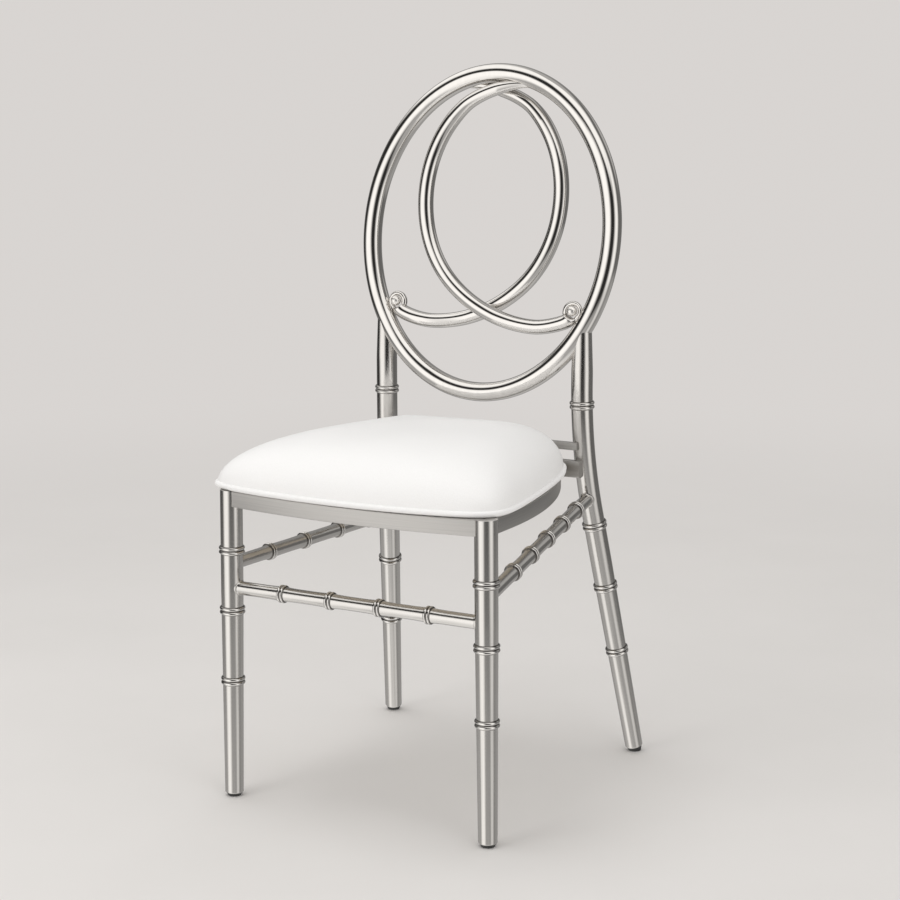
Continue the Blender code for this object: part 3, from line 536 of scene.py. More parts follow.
def foot_end(start, way, end_radius):
    """Centres and radii of a leg's lower end: up the socket, down it, out to the lip and round the lip."""
    quarter = np.linspace(0, pi / 2, 7)
    rise = np.concatenate([[STEM_LENGTH, 0.0], FOOT_LIP * (1 - np.cos(quarter))])
    hole = STEM_DIAMETER / 2 + CLEARANCE
    radii = np.concatenate([[hole, hole], end_radius - FOOT_LIP * (1 - np.sin(quarter))])
    return start + rise[:, None] * unit(way), radii


def leg_piece(name, start, axis, ways, radii, reference):
    """Rings of the lower end at the start, then one round each point of the leg's axis."""
    ends, end_radii = foot_end(start, ways[0], leg_radius(start[2]))
    path, radii = np.concatenate([ends, axis]), np.concatenate([end_radii, radii])
    ways = np.concatenate([np.repeat(ways[:1], len(ends), 0), ways])
    rings, unrolled = tube_rings(path, radii, reference, ways=ways)
    return skin(name, rings, unrolled, SATIN)


for word, side in SIDES:
    z = np.linspace(GLIDE_HEIGHT + 2 * FOOT_LIP, FRAME_TOP, 90)
    leg = leg_piece("leg_front_" + word, front_axis(side, GLIDE_HEIGHT), front_axis(side, z),
                    np.repeat(front_way(side)[None], len(z), 0), leg_radius(z), BACKWARDS)
    stands_for(leg, "satin_steel", "front_leg_" + word)
    z = np.linspace(REAR_END + 2 * FOOT_LIP, POST_TOP, 150)
    leg = leg_piece("leg_rear_" + word, rear_axis(side, REAR_END), rear_axis(side, z), rear_way(side, z),
                    post_radius(z), rake_normal(side))
    stands_for(leg, "satin_steel", "rear_leg_" + word)
    print("legs on the", word, "side:", len(leg.data.vertices), "points in the rear one")

# %% [markdown]
# ## Feet
#
# Under each leg sits a small black plastic foot with a stem that is pressed up the leg. A rear leg is
# raked, so its foot is sheared: the top is square to the leg and the bottom lies flat on the floor. Each
# point of the foot slides along the leg's direction to its level, which gives both ends at once. The lower
# edge is rounded.

# %% Four plastic feet
GLIDE_DIAMETER, GLIDE_BASE_DIAMETER, GLIDE_ROUNDING = 0.0212, 0.0176, 0.0009
GLIDE_EDGE, STEM_EDGE, NARROWED = 0.0004, 0.001, 0.4
RIM_DOWN, NARROW_DOWN, ROUNDING_DOWN = 0.04, 0.35, 0.65


def foot_piece(name, end, way, reference):
    """Rings from the stem's tip down to its shoulder, out to the pad's rim and down to the floor.

    A pad ring is a circle square to the leg whose points move down along the leg by a share of their way to
    the floor. The last rings draw in by the rounding while they reach the floor.
    """
    way, bend = unit(way), np.linspace(0, pi / 2, 7)
    rim, base, stem = GLIDE_DIAMETER / 2, GLIDE_BASE_DIAMETER / 2, STEM_DIAMETER / 2
    last = ROUNDING_DOWN + (1 - ROUNDING_DOWN) * np.sin(bend)
    down = np.concatenate([[0, 0, 0, 0, RIM_DOWN, NARROW_DOWN], last])
    waist = rim + (base - rim) * NARROWED
    out = np.concatenate([[stem - STEM_EDGE, stem, stem, rim - GLIDE_EDGE, rim, waist],
                          base - GLIDE_ROUNDING * (1 - np.cos(bend))])
    lift = np.concatenate([[STEM_LENGTH, STEM_LENGTH - STEM_EDGE], np.zeros(4 + len(bend))])
    path = end + lift[:, None] * way
    rings, unrolled = tube_rings(path, out, reference, 28, -way)
    slide = down[:, None] * rings[..., 2] / way[2]
    return skin(name, rings - slide[..., None] * way, unrolled, BLACK)


for word, side in SIDES:
    foot = foot_piece("foot_front_" + word, front_axis(side, GLIDE_HEIGHT), front_way(side), BACKWARDS)
    stands_for(foot, "black_plastic", "foot_glide_front_" + word)
    foot = foot_piece("foot_rear_" + word, rear_axis(side, REAR_END), rear_way(side, REAR_END),
                      rake_normal(side))
    stands_for(foot, "black_plastic", "foot_glide_rear_" + word)
    print("feet on the", word, "side reach down to", round(np.array(foot.bound_box)[:, 2].min(), 6))

# %% [markdown]
# ## The oval
#
# The back is one closed tube bent to an ellipse and leaning back. It is a path with as many steps as make
# it look smooth, and its rings all start at the front of the back's plane, so the last ring fits the first.
# A closed tube can't be unrolled without a jump where it closes, so its finish reads the points' plain
# places instead.

# %% The oval tube
OVAL_STEPS, OVAL_POINTS = 320, 44
turn = full_turn(OVAL_STEPS)
oval_path = on_back(np.stack([OVAL_A * np.cos(turn), OVAL_B * np.sin(turn)], 1), 0.0)
rings, _ = tube_rings(oval_path, OVAL_TUBE / 2, BACK_FRONT, OVAL_POINTS, joined=True)
oval = skin("oval_back", rings, rings, POLISHED, joined=True)
stands_for(oval, "polished_steel", "back_oval")
print("oval:", len(oval.data.vertices), "points")

# %% [markdown]
# ## Crossing loops and their scrolls
#
# Two rods rise from the scrolls, cross low down and again under the top of the oval, and die into it. One
# passes in front of the other. The path has six parts that share their directions where they meet: a tip
# that bends along the oval, part of an ellipse, a swing through the lower crossing, an arm, a short neck
# and a curl round a ball. One running number counts through all the parts, and the rod's thickness and its
# distance from the back's plane follow it.

# %% Path of a loop
LOOP_TUBE, LOOP_ARM_TUBE, LOOP_TIP_TUBE = 0.0205, 0.0192, 0.0056
CURL_TUBES, SCROLL_BALL_DIAMETER, SCROLL_SINK = (0.0059, 0.0057, 0.0064, 0.0086), 0.0140, 0.0014
LOOP_CENTRE_SHARES, LOOP_HALF_SHARES = np.array([0.1688, 0.2290]), np.array([0.7034, 0.7013])
RELEASE_SHARE, ARM_SHARES = 0.2767, np.array([0.4425, -0.5709])
SCROLL_TOUCH, ARM_HEADING, CURL_END, NECK_LENGTH = radians(-30.65), radians(48), radians(210), 0.012
LOOP_SETBACK, SWING_FADE, TIP_IN, TIP_OUT, TIP_EMBED = 0.004, 0.6, 0.045, 0.048, 0.0098
TIP_PULLS, SWING_PULLS, ARM_PULLS = (0.6, 0.9), (1.08, 0.86), (0.95, 0.40)
SHOULDER_TUBE, TIP_DEPTHS, NECK_START, NECK_SPAN = 0.0168, (0.30, 0.82), 0.05, 0.55
PART_STEPS, CURL_KNOTS = np.array([6, 20, 10, 6, 3, 11]), (0, 0.25, 0.6, 1)

OVAL_HALVES = np.array([OVAL_A, OVAL_B])


def circle(angle):
    """Points (cos, sin) of angles."""
    return np.stack([np.cos(angle), np.sin(angle)], -1)


def smooth_step(share):
    """0 below 0, 1 above 1, and a smooth rise between."""
    share = np.clip(share, 0, 1)
    return share * share * (3 - 2 * share)


def curve_between(start, start_way, end, end_way, u, pulls=(1.0, 1.0)):
    """Cubic curve with given ends and end directions, each pulled by a share of the ends' distance."""
    u = u[:, None]
    reach = np.linalg.norm(end - start)
    return ((2 * u ** 3 - 3 * u ** 2 + 1) * start + (u ** 3 - 2 * u ** 2 + u) * pulls[0] * reach * start_way
            + (3 * u ** 2 - 2 * u ** 3) * end + (u ** 3 - u ** 2) * pulls[1] * reach * end_way)


def scroll_centre():
    """Middle of the right scroll: in from the oval's side by the curl, less the weld, and half the ball."""
    reach = OVAL_TUBE / 2 - SCROLL_SINK + CURL_TUBES[1] + SCROLL_BALL_DIAMETER / 2
    return circle(SCROLL_TOUCH) * OVAL_HALVES - unit(circle(SCROLL_TOUCH) / OVAL_HALVES) * reach


def oval_tip():
    """Where a loop dies into the oval: a point just inside the oval's line, and the direction along it."""
    angle = np.arccos(TIP_OUT / OVAL_A)
    way = unit(OVAL_HALVES * np.array([sin(angle), -cos(angle)]))
    return OVAL_HALVES * circle(angle) + TIP_EMBED * np.array([way[1], -way[0]]), way


def loop_path(steps_per_part_step=8):
    """Plane points, plane directions, radii and share of full depth of the loop with the right scroll.

    Along the neck the lower side keeps on the line that touches the curl from below while the rod thins, so
    the upper side drops away in front of the ball.
    """
    marks = np.concatenate([[0], np.cumsum(PART_STEPS)])
    count = np.linspace(0, marks[-1], marks[-1] * steps_per_part_step + 1)
    part = np.clip(np.searchsorted(marks, count, side="right") - 1, 0, 5)
    u = (count - marks[part]) / PART_STEPS[part]
    centre, half = OVAL_HALVES * LOOP_CENTRE_SHARES, OVAL_HALVES * LOOP_HALF_SHARES
    top = np.arccos(-(LOOP_CENTRE_SHARES[0] + TIP_IN / OVAL_A) / LOOP_HALF_SHARES[0])
    release = pi + np.arcsin((RELEASE_SHARE + LOOP_CENTRE_SHARES[1]) / LOOP_HALF_SHARES[1])
    rising = unit(half * np.array([sin(top), -cos(top)]))
    leaving = unit(half * np.array([-sin(release), cos(release)]))
    tip, tip_way = oval_tip()
    low, level = OVAL_HALVES * ARM_SHARES, np.array([1.0, 0.0])
    ball_middle, ball_radius = scroll_centre(), SCROLL_BALL_DIAMETER / 2
    below, onward = circle(ARM_HEADING - pi / 2), circle(ARM_HEADING)
    thinned = smooth_step((u - NECK_START) / NECK_SPAN)
    neck_radius = (LOOP_ARM_TUBE + (CURL_TUBES[0] - LOOP_ARM_TUBE) * thinned) / 2
    touch = ball_middle + (ball_radius + CURL_TUBES[0]) * below
    neck_line = touch + ((u - 1) * NECK_LENGTH)[:, None] * onward
    curl_radius = np.interp(u, CURL_KNOTS, np.array(CURL_TUBES) / 2)
    curl_turn = ARM_HEADING - pi / 2 + (CURL_END - ARM_HEADING + pi / 2) * u
    arm_end = touch - NECK_LENGTH * onward - LOOP_ARM_TUBE / 2 * below
    parts = [curve_between(tip, -tip_way, centre + half * circle(top), -rising, u, TIP_PULLS),
             centre + half * circle(top + (release - top) * u),
             curve_between(centre + half * circle(release), leaving, low, level, u, SWING_PULLS),
             curve_between(low, level, arm_end, onward, u, ARM_PULLS),
             neck_line - neck_radius[:, None] * below,
             ball_middle + (ball_radius + curl_radius)[:, None] * circle(curl_turn)]
    plane = np.choose(part[:, None], parts)
    ways = np.where((part == 4)[:, None], onward, np.gradient(plane, axis=0))
    ways = np.where((part == 5)[:, None], circle(curl_turn + pi / 2), ways)
    knots = [0, 3, marks[1] + 2, marks[2], marks[3]]
    tubes = np.array([LOOP_TIP_TUBE, SHOULDER_TUBE, LOOP_TUBE, LOOP_TUBE, LOOP_ARM_TUBE])
    radii = np.interp(count, knots, tubes / 2)
    radii = np.where(part == 4, neck_radius, np.where(part == 5, curl_radius, radii))
    length = length_along(plane)
    knots = [0, 3, marks[1], marks[2] + SWING_FADE * PART_STEPS[2], marks[3] + 3]
    share = np.interp(length, np.interp(knots, count, length), [*TIP_DEPTHS, 1, 1, 0])
    return plane, ways, radii, smooth_step(share)


loop_plane, loop_ways, loop_radii, loop_depth = loop_path()
print("a loop is", round(length_along(loop_plane)[-1], 3), "m of rod")

# %% [markdown]
# ### Rods along the path
#
# Both loops follow the same path, and one is mirrored. Where they cross, one rod lies half its thickness
# ahead and the other half its thickness behind; at both ends they come back to the oval's plane. The rings
# stay square to the path in the room, so the rod keeps its round section while it moves forwards or back.

# %% The two loops
def rounded_tip(radii, steps):
    """The last steps shrink as a quarter circle, so that the rod's end is a small dome."""
    shrink = np.ones(len(radii))
    shrink[-steps:] = np.sqrt(1 - np.linspace(0, 0.98, steps) ** 2)
    return radii * shrink


for place, side in (("front", 1), ("rear", -1)):
    ahead = loop_depth * (side * (LOOP_TUBE / 2 + CLEARANCE) - LOOP_SETBACK)
    path = on_back(loop_plane * np.array([side, 1.0]), ahead)
    in_plane = on_back(loop_ways * np.array([side, 1.0]), 0.0) - OVAL_CENTRE
    along = np.gradient(path, axis=0)
    stretch = np.linalg.norm(in_plane, axis=1) / np.linalg.norm(np.gradient(loop_plane, axis=0), axis=1)
    ways = in_plane + (stretch * (along @ BACK_FRONT))[:, None] * BACK_FRONT
    rings, unrolled = tube_rings(path, rounded_tip(loop_radii, 6), BACK_FRONT, 36, ways)
    loop = skin("loop_" + place, rings, unrolled, POLISHED)
    stands_for(loop, "polished_steel", "back_loop_" + place)
    print(loop.name, len(loop.data.vertices), "points")

# %% [markdown]
# ### Scroll balls
#
# A small ball sits in each curl, a little ahead of the rod. It could be one of Blender's spheres, but rings
# give it the same attribute as the tubes, so it can take their finish.

# %% Scroll balls
BALL_LEAD = 0.0045
ball_turn = np.linspace(-pi / 2, pi / 2, 34)[1:-1]
for word, side in SIDES:
    middle = on_back(scroll_centre()[None] * np.array([side, 1.0]), BALL_LEAD)
    path = middle + (SCROLL_BALL_DIAMETER / 2 * np.sin(ball_turn))[:, None] * BACK_FRONT
    radii = SCROLL_BALL_DIAMETER / 2 * np.cos(ball_turn)
    rings, unrolled = tube_rings(path, radii, (1, 0, 0), 36, BACK_FRONT)
    ball = skin("scroll_bead_" + word, rings, unrolled, PAINTED_BRIGHT_BEAD_STEEL)
    stands_for(ball, "polished_steel", "scroll_ball_" + word)
print("two scroll balls of", SCROLL_BALL_DIAMETER * 1000, "mm")

# %% [markdown]
# ## Seat frame
#
# The seat frame is flat bar on edge: a bowed front rail, two side rails that curve in towards the back, a
# rear rail and a slim bar that stops the pad from sliding back. Each is one section, a rectangle with
# rounded edges, carried along a line on the floor plan. The rounded edges matter: they catch the light as
# the thin bright lines of real bar.

# %% A bar along a plan line
RAIL_HEIGHT, RAIL_THICKNESS, EDGE_ROUNDING = 0.020, 0.012, 0.0012
RAIL_BOTTOM = FRAME_TOP - RAIL_HEIGHT


def bar_section(thickness, height, rounding, per_corner=6):
    """Rounded rectangle, 0 to -thickness inwards and 0 to height: quarter circles round its corners."""
    corner = np.repeat(np.arange(4), per_corner)
    angle = np.tile(np.linspace(0, pi / 2, per_corner), 4) + corner * pi / 2
    middle_in = np.array([-rounding, rounding - thickness, rounding - thickness, -rounding])[corner]
    middle_up = np.array([height - rounding, height - rounding, rounding, rounding])[corner]
    return np.stack([middle_in, middle_up], 1) + rounding * circle(angle)


def bar(name, line, thickness, bottom, height, outward_side):
    """The section at each point of the bar's outer line, square to it; 1 or -1 says which side is out."""
    way = unit(np.gradient(line, axis=0))
    out = np.stack([way[:, 1], -way[:, 0]], 1) * outward_side
    section = bar_section(thickness, height, EDGE_ROUNDING)[::outward_side]
    plan = line[:, None] + section[None, :, :1] * out[:, None]
    level = np.broadcast_to(bottom + section[:, 1], plan.shape[:2])
    rings = np.concatenate([plan, level[..., None]], -1)
    length = np.repeat(length_along(line)[:, None], len(section), 1)
    straight = np.stack([np.broadcast_to(section[:, 0], level.shape), level, length], -1)
    return skin(name, rings, straight, SATIN_BAR)


print("bar section of", len(bar_section(RAIL_THICKNESS, RAIL_HEIGHT, EDGE_ROUNDING)), "points")

# %% Five bars of the seat frame
FRONT_RAIL_LEAD, FRONT_RAIL_BOW = 0.0097, 0.0175
SIDE_RAIL_OUT, SIDE_RAIL_STRAIGHT, SIDE_RAIL_RADIUS = 0.0075, 0.049, 0.575
REAR_RAIL_HEIGHT, REAR_RAIL_LIFT, REAR_RAIL_DEPTH = 0.022, 0.0125, 0.010
REAR_RAIL_OVERHANG, REAR_RAIL_SEAT = 0.005, 0.006
STOP_BAR_HEIGHT, STOP_BAR_DEPTH, STOP_BAR_LIFT = 0.010, 0.008, 0.028

REAR_RAIL_FRONT = POST_Y - REAR_RAIL_SEAT - REAR_RAIL_DEPTH
REAR_RAIL_BACK = POST_Y - REAR_RAIL_SEAT

x = np.linspace(-FRONT_TOP_X, FRONT_TOP_X, 91)
bow = FRONT_RAIL_BOW * (1 - (x / FRONT_TOP_X) ** 2)
front_line = np.stack([x, FRONT_LEG_Y - FRONT_RAIL_LEAD - bow], 1)
rail = bar("rail_front", front_line, RAIL_THICKNESS, RAIL_BOTTOM, RAIL_HEIGHT, 1)
stands_for(rail, "satin_steel", "seat_rail_front")

y = np.linspace(FRONT_LEG_Y, REAR_RAIL_FRONT, 91)
run = np.clip(y - FRONT_LEG_Y - SIDE_RAIL_STRAIGHT, 0, None)
side_x = FRONT_TOP_X + SIDE_RAIL_OUT - SIDE_RAIL_RADIUS + np.sqrt(SIDE_RAIL_RADIUS ** 2 - run ** 2)
for word, side in SIDES:
    side_line = np.stack([side * side_x, y], 1)
    rail = bar("rail_" + word, side_line, RAIL_THICKNESS, RAIL_BOTTOM, RAIL_HEIGHT, side)
    stands_for(rail, "satin_steel", "seat_rail_" + word)

x = np.linspace(-1, 1, 41)
rear_line = np.stack([x * (POST_X + REAR_RAIL_OVERHANG), np.full(41, REAR_RAIL_BACK)], 1)
rail = bar("rail_rear", rear_line, REAR_RAIL_DEPTH, RAIL_BOTTOM + REAR_RAIL_LIFT, REAR_RAIL_HEIGHT, -1)
stands_for(rail, "satin_steel", "seat_rail_rear")
stop_line = np.stack([x * POST_X, np.full(41, REAR_RAIL_BACK)], 1)
stop = bar("pad_stop", stop_line, STOP_BAR_DEPTH, FRAME_TOP + STOP_BAR_LIFT, STOP_BAR_HEIGHT, -1)
stands_for(stop, "satin_steel", "pad_stop_bar")
print("five bars; the rear rail's front face is at y", round(REAR_RAIL_FRONT, 4))

# %% [markdown]
# ## Stretchers
#
# Three thin tubes brace the legs. Where a tube meets a leg its end is cut to a saddle and welded all round.
# The saddle is where lines along the tube pierce the leg, which is the root of a quadratic for each line,
# so every line gets its own length. Near the leg the tube flares into a small weld fillet, and next to each
# ring it swells a little, as the joints of a bamboo cane do.

# %% A coped tube with swellings
STRETCHER_DIAMETER = 0.017
WELD_FILLET, RING_SWELL, RING_SWELL_LENGTH = 0.0016, 0.0007, 0.012


def pierce(points, way, axis_point, axis_way, radius):
    """Distances along way at which lines from the points enter and leave a round leg.

    Only the part square to the leg's axis counts: |p + s w|^2 = radius^2 is solved for s.
    """
    axis_way, p = unit(axis_way), points - axis_point
    p = p - (p @ axis_way)[:, None] * axis_way
    w = way - (way @ axis_way) * axis_way
    b, c = p @ w, (p * p).sum(1) - radius ** 2
    root = np.sqrt(b * b - (w @ w) * c)
    return (-b - root) / (w @ w), (-b + root) / (w @ w)


def stretcher(name, start, end, start_leg, end_leg, shares, steps=260, around=36):
    """Lines along the tube from one leg's wall to the other's; each leg is an axis direction and a radius.

    The radius grows by the fillet f as f * (1 - sqrt(1 - (1 - d/f)^2)) within f of a wall, and by a
    bell-shaped swelling at each ring's share of the length.
    """
    length = np.linalg.norm(end - start)
    way = (end - start) / length
    first = unit(np.array(UPWARDS) - way * way[2])
    second = np.cross(way, first)
    turn = full_turn(around)
    out = np.cos(turn)[:, None] * first + np.sin(turn)[:, None] * second
    rim = start + STRETCHER_DIAMETER / 2 * out
    leave = pierce(rim, way, start, *start_leg)[1] - WELD_FILLET
    enter = pierce(rim, way, end, *end_leg)[0] + WELD_FILLET
    crowd = (1 - np.cos(np.linspace(0, pi, steps))) / 2
    along = leave + (enter - leave) * crowd[:, None]
    wall = np.minimum(along - leave, enter - along) - WELD_FILLET
    near = np.clip(1 - wall / WELD_FILLET, 0, 1)
    rings_at = np.array(shares) * length
    swell = np.exp(-((along[..., None] - rings_at) / RING_SWELL_LENGTH) ** 2).sum(-1)
    radius = STRETCHER_DIAMETER / 2 + WELD_FILLET * (1 - np.sqrt(1 - near ** 2)) + RING_SWELL * swell
    rings = start + along[..., None] * way + radius[..., None] * out
    unrolled = np.stack([radius * np.cos(turn), radius * np.sin(turn), along], -1)
    return skin(name, rings, unrolled, SATIN)


print("stretchers are", STRETCHER_DIAMETER * 1000, "mm thick")

# %% Three stretchers
FRONT_STRETCHER_SHARE, SIDE_STRETCHER_DROP = 0.6868, 0.0042
LEFT_STRETCHER_DROP, RIGHT_STRETCHER_DROP = 0.0006, 0.0083
FRONT_COLLAR_SHARES, REAR_COLLAR_SHARES = (0.8073, 0.6130, 0.3832), (0.8118, 0.5977, 0.3694)
POST_COLLAR_RISE, BEAD_PITCH, BEAD_STAND = 0.0864, 0.0054, 0.0023
STRETCHER_COLLARS = {"front": (0.212, 0.404, 0.596, 0.788), "left": (0.219, 0.432, 0.648, 0.860),
                     "right": (0.239, 0.400, 0.556, 0.708, 0.853)}

FRONT_COLLARS = [FRAME_TOP * share for share in FRONT_COLLAR_SHARES]
REAR_COLLARS = [FRAME_TOP + POST_COLLAR_RISE, *(FRAME_TOP * share for share in REAR_COLLAR_SHARES)]
SIDE_FRONT_Z = FRONT_COLLARS[0] - BEAD_PITCH - STRETCHER_DIAMETER / 2 - SIDE_STRETCHER_DROP
collar_dip = BEAD_PITCH * cos(RAKE_ANGLE) + (LEG_DIAMETER / 2 + BEAD_STAND) * sin(RAKE_ANGLE)
SIDE_REAR_Z = {"left": REAR_COLLARS[1] - collar_dip - LEFT_STRETCHER_DROP - STRETCHER_DIAMETER / 2,
               "right": RAIL_BOTTOM - STRETCHER_DIAMETER / 2 - RIGHT_STRETCHER_DROP}

front_z = FRAME_TOP * FRONT_STRETCHER_SHARE
stretcher_lines = {"front": (front_axis(-1, front_z), front_axis(1, front_z))}
for word, side in SIDES:
    stretcher_lines[word] = (front_axis(side, SIDE_FRONT_Z), rear_axis(side, SIDE_REAR_Z[word]))
for word, (start, end) in stretcher_lines.items():
    side = 1 if word == "right" else -1
    end_way = front_way(1) if word == "front" else rear_way(side, end[2])
    tube = stretcher("brace_" + word, start, end, (front_way(side), leg_radius(start[2])),
                     (end_way, leg_radius(end[2])), STRETCHER_COLLARS[word])
    stands_for(tube, "satin_steel", "stretcher_" + word)
    print(tube.name, "climbs by", round(1000 * (end[2] - start[2]), 1), "mm")

# %% [markdown]
# ## Rings
#
# Each ring is a turned collar of two beads with a groove between them and a thin foot at each end. Its
# outline is worked out as a height over the tube: two half ellipses, joined by a web that keeps the groove
# from reaching the tube, and carried round the axis. The line then returns inside the tube, so the ring is
# a closed band. Each point also carries how deep in the groove or the corner at the foot it lies, and the
# finish is painted darker there: painted shade in the recesses of the ring.

# %% Outline of a ring
STRETCHER_BEAD_PITCH, STRETCHER_BEAD_STAND = 0.0046, 0.0021
BEAD_FOOT, BEAD_WAIST, BEAD_WIDTH, MEAN_POWER, EDGE_SHARE = 0.33, 0.55, 0.86, 5, 0.07
# Painted shade: the finish is mixed towards this dark colour in the groove and in the corner at each foot.
GROOVE_SHADE_START, GROOVE_SHADE_SPAN, GROOVE_SHADE_COLOUR = 0.85, 0.35, (0.17, 0.16, 0.15, 1.0)


def ring_outline(pitch, stand):
    """Distances along the axis and heights over the tube, from one end of the ring to the other.

    A bead is sqrt(1 - ((|s| - pitch/2) / half)^2) of the stand; the web and the foot are lower levels, and
    the three are joined by taking a high-power mean, which rounds the corners between them.
    """
    along = pitch * np.sin(np.linspace(-pi / 2, pi / 2, 61))
    half = pitch / 2 * BEAD_WIDTH
    bead = np.sqrt(np.clip(1 - ((np.abs(along) - pitch / 2) / half) ** 2, 0, 1))
    web = (1 - BEAD_WAIST) * (np.abs(along) < pitch / 2)
    rounded = (bead ** MEAN_POWER + web ** MEAN_POWER + BEAD_FOOT ** MEAN_POWER) ** (1 / MEAN_POWER)
    edge = np.clip((pitch - np.abs(along)) / (EDGE_SHARE * pitch), 0, 1)
    return along, stand * rounded * np.sqrt(1 - (1 - edge) ** 2)


def ring_steel():
    """The polished finish, mixed with a dark painted shade by the attribute that says how deep in the groove
    a point lies.
    """
    finish = POLISHED.copy()
    finish.name = "polished_steel_ring"
    tree = finish.node_tree
    colour = tree.nodes["Principled BSDF"].inputs["Base Color"]
    groove_shade = add_node(tree, "ShaderNodeAttribute", {}, attribute_name="groove_shade").outputs["Fac"]
    tree.links.new(colour_mix(tree, groove_shade, colour.links[0].from_socket, GROOVE_SHADE_COLOUR), colour)
    return finish


RING_STEEL = ring_steel()


def ring_piece(name, node, middle, way, tube_radius, bead, reference, around):
    """The outline carried round the axis; tube_radius gives the tube's radius at a distance along it."""
    along, height = ring_outline(*bead)
    way, inside = unit(way), np.array([along[-1], along[0]])
    radii = np.concatenate([tube_radius(along) + height, tube_radius(inside) - 2 * CLEARANCE])
    path = middle + np.append(along, inside)[:, None] * way
    rings, unrolled = tube_rings(path, radii, reference, around, way)
    ring = skin(name, rings, unrolled, RING_STEEL, joined=True)
    # How much painted shade each point gets: most deep in the groove and at the feet, none on the beads'
    # tops.
    groove_shade = np.clip((GROOVE_SHADE_START - np.append(height, [0, 0]) / bead[1]) / GROOVE_SHADE_SPAN, 0, 1)
    note(ring, "groove_shade", np.repeat(groove_shade, around))
    return stands_for(ring, "polished_steel", node)


print("a leg's ring is", round(2000 * BEAD_PITCH, 1), "mm long")

# %% Rings on the legs and stretchers
def swollen_radius(along):
    """Radius of a stretcher at a distance from the middle of one of its rings."""
    return STRETCHER_DIAMETER / 2 + RING_SWELL * np.exp(-(along / RING_SWELL_LENGTH) ** 2)


LEG_BEAD, STRETCHER_BEAD = (BEAD_PITCH, BEAD_STAND), (STRETCHER_BEAD_PITCH, STRETCHER_BEAD_STAND)
rings_made = []
for word, side in SIDES:
    for number, z in enumerate(FRONT_COLLARS, 1):
        rings_made.append(ring_piece(
            "ring_front_%s_%d" % (word, number), "collar_front_leg_%s_%d" % (word, number),
            front_axis(side, z), front_way(side), lambda along, z=z: leg_radius(z + along),
            LEG_BEAD, BACKWARDS, 44))
    for number, z in enumerate(REAR_COLLARS, 1):
        rings_made.append(ring_piece(
            "ring_rear_%s_%d" % (word, number), "collar_rear_leg_%s_%d" % (word, number),
            rear_axis(side, z), rear_way(side, z), lambda along, z=z: post_radius(z + along),
            LEG_BEAD, rake_normal(side), 44))
for word, (start, end) in stretcher_lines.items():
    for number, share in enumerate(STRETCHER_COLLARS[word], 1):
        rings_made.append(ring_piece(
            "ring_brace_%s_%d" % (word, number), "collar_stretcher_%s_%d" % (word, number),
            start + (end - start) * share, end - start, swollen_radius, STRETCHER_BEAD, UPWARDS, 36))
print(len(rings_made), "rings")

# %% [markdown]
# ## Seat pad
#
# The pad is a sheet of foam on a plywood board, covered in leatherette and edged with a welt of piping. Its
# outline is a rounded square that is wider and bowed at the front, and it sits slightly askew on the frame.
# Board, piping and cover all start from this one outline, moved in by different amounts.

# %% Outline of the pad
PAD_OVERHANG, PAD_REAR_GAP, PAD_WIDTH_SHARE, PAD_SHIFT = 0.0302, 0.001, 0.9592, 0.004
PAD_TAPER, PAD_BELLY, PAD_BOW, PAD_SKEW, CORNER_CROWDING = 0.037, 0.0085, 0.0272, 0.05, 0.5
FRONT_SQUARENESS, REAR_SQUARENESS, REAR_RISE, REAR_RISE_DEPTH = 9.0, 14.0, 0.007, 0.045
BOARD_THICKNESS, PIPING_DIAMETER, CUSHION_INSET = 0.0080, 0.0072, 0.0040

PAD_FRONT, PAD_REAR = FRONT_LEG_Y - PAD_OVERHANG, REAR_RAIL_FRONT - PAD_REAR_GAP
PAD_HALF_WIDTH = REAR_FOOT_X * PAD_WIDTH_SHARE
BOARD_BOTTOM = FRAME_TOP + CLEARANCE
CUSHION_BOTTOM = BOARD_BOTTOM + BOARD_THICKNESS + CLEARANCE


def pad_outline(inset, around, squareness=1.0):
    """Plan points; squareness 1 keeps the front corners, 0 makes them round (a column gives one row each).

    A rounded square in polar form, reach = (|cos|^n + |sin|^n)^(-1/n), is narrowed towards the back, its
    front edge is bowed, it is moved and skewed to one side, and every point moves in by the inset, square to
    the line.
    """
    turn = full_turn(around)
    turn = turn + CORNER_CROWDING * np.sin(4 * turn) / 4
    n = np.where(np.sin(turn) > 0, REAR_SQUARENESS, 2 + squareness * (FRONT_SQUARENESS - 2))
    reach = (np.abs(np.cos(turn)) ** n + np.abs(np.sin(turn)) ** n) ** (-1 / n)
    u, v = reach * np.cos(turn), reach * np.sin(turn)
    y = (PAD_FRONT + PAD_REAR) / 2 + (PAD_REAR - PAD_FRONT) / 2 * v + PAD_BOW * u * u * (1 - v) / 2
    x = u * (PAD_HALF_WIDTH - PAD_TAPER * v - PAD_BELLY * v * v) + PAD_SKEW * y - PAD_SHIFT
    plan = np.stack([x, y], -1)
    way = unit(np.roll(plan, -1, -2) - np.roll(plan, 1, -2))
    return plan + np.stack([-way[..., 1], way[..., 0]], -1) * inset


def rear_rise(y):
    """The pad's rear edge rides up against the rear rail, by a smooth step over the last of its depth."""
    return REAR_RISE * smooth_step((y - PAD_REAR + CUSHION_INSET + REAR_RISE_DEPTH) / REAR_RISE_DEPTH)


print("the pad is", round(2 * PAD_HALF_WIDTH, 4), "m wide and", round(PAD_REAR - PAD_FRONT, 4), "m deep")

# %% [markdown]
# ### Cover
#
# A taut cover could be a flat shape that a cloth simulation swells. The real one has no folds and keeps
# tight corners at the front, which swelling would round off, so it is a crown by formula: level lines that
# shrink towards a peak a little behind the middle, with rounder front corners the higher they lie.

# %% Cover of the pad
CUSHION_CROWN, CROWN_SHIFT = 0.0622, 0.055
CROWN_POWER, CROWN_EDGE, CROWN_LEAN, TUCK_DROP, CORNER_FADE = 4.1, 1.7, 0.020, 0.0028, 4
TUCK_FADE, RISE_FADE = 6, 0.7


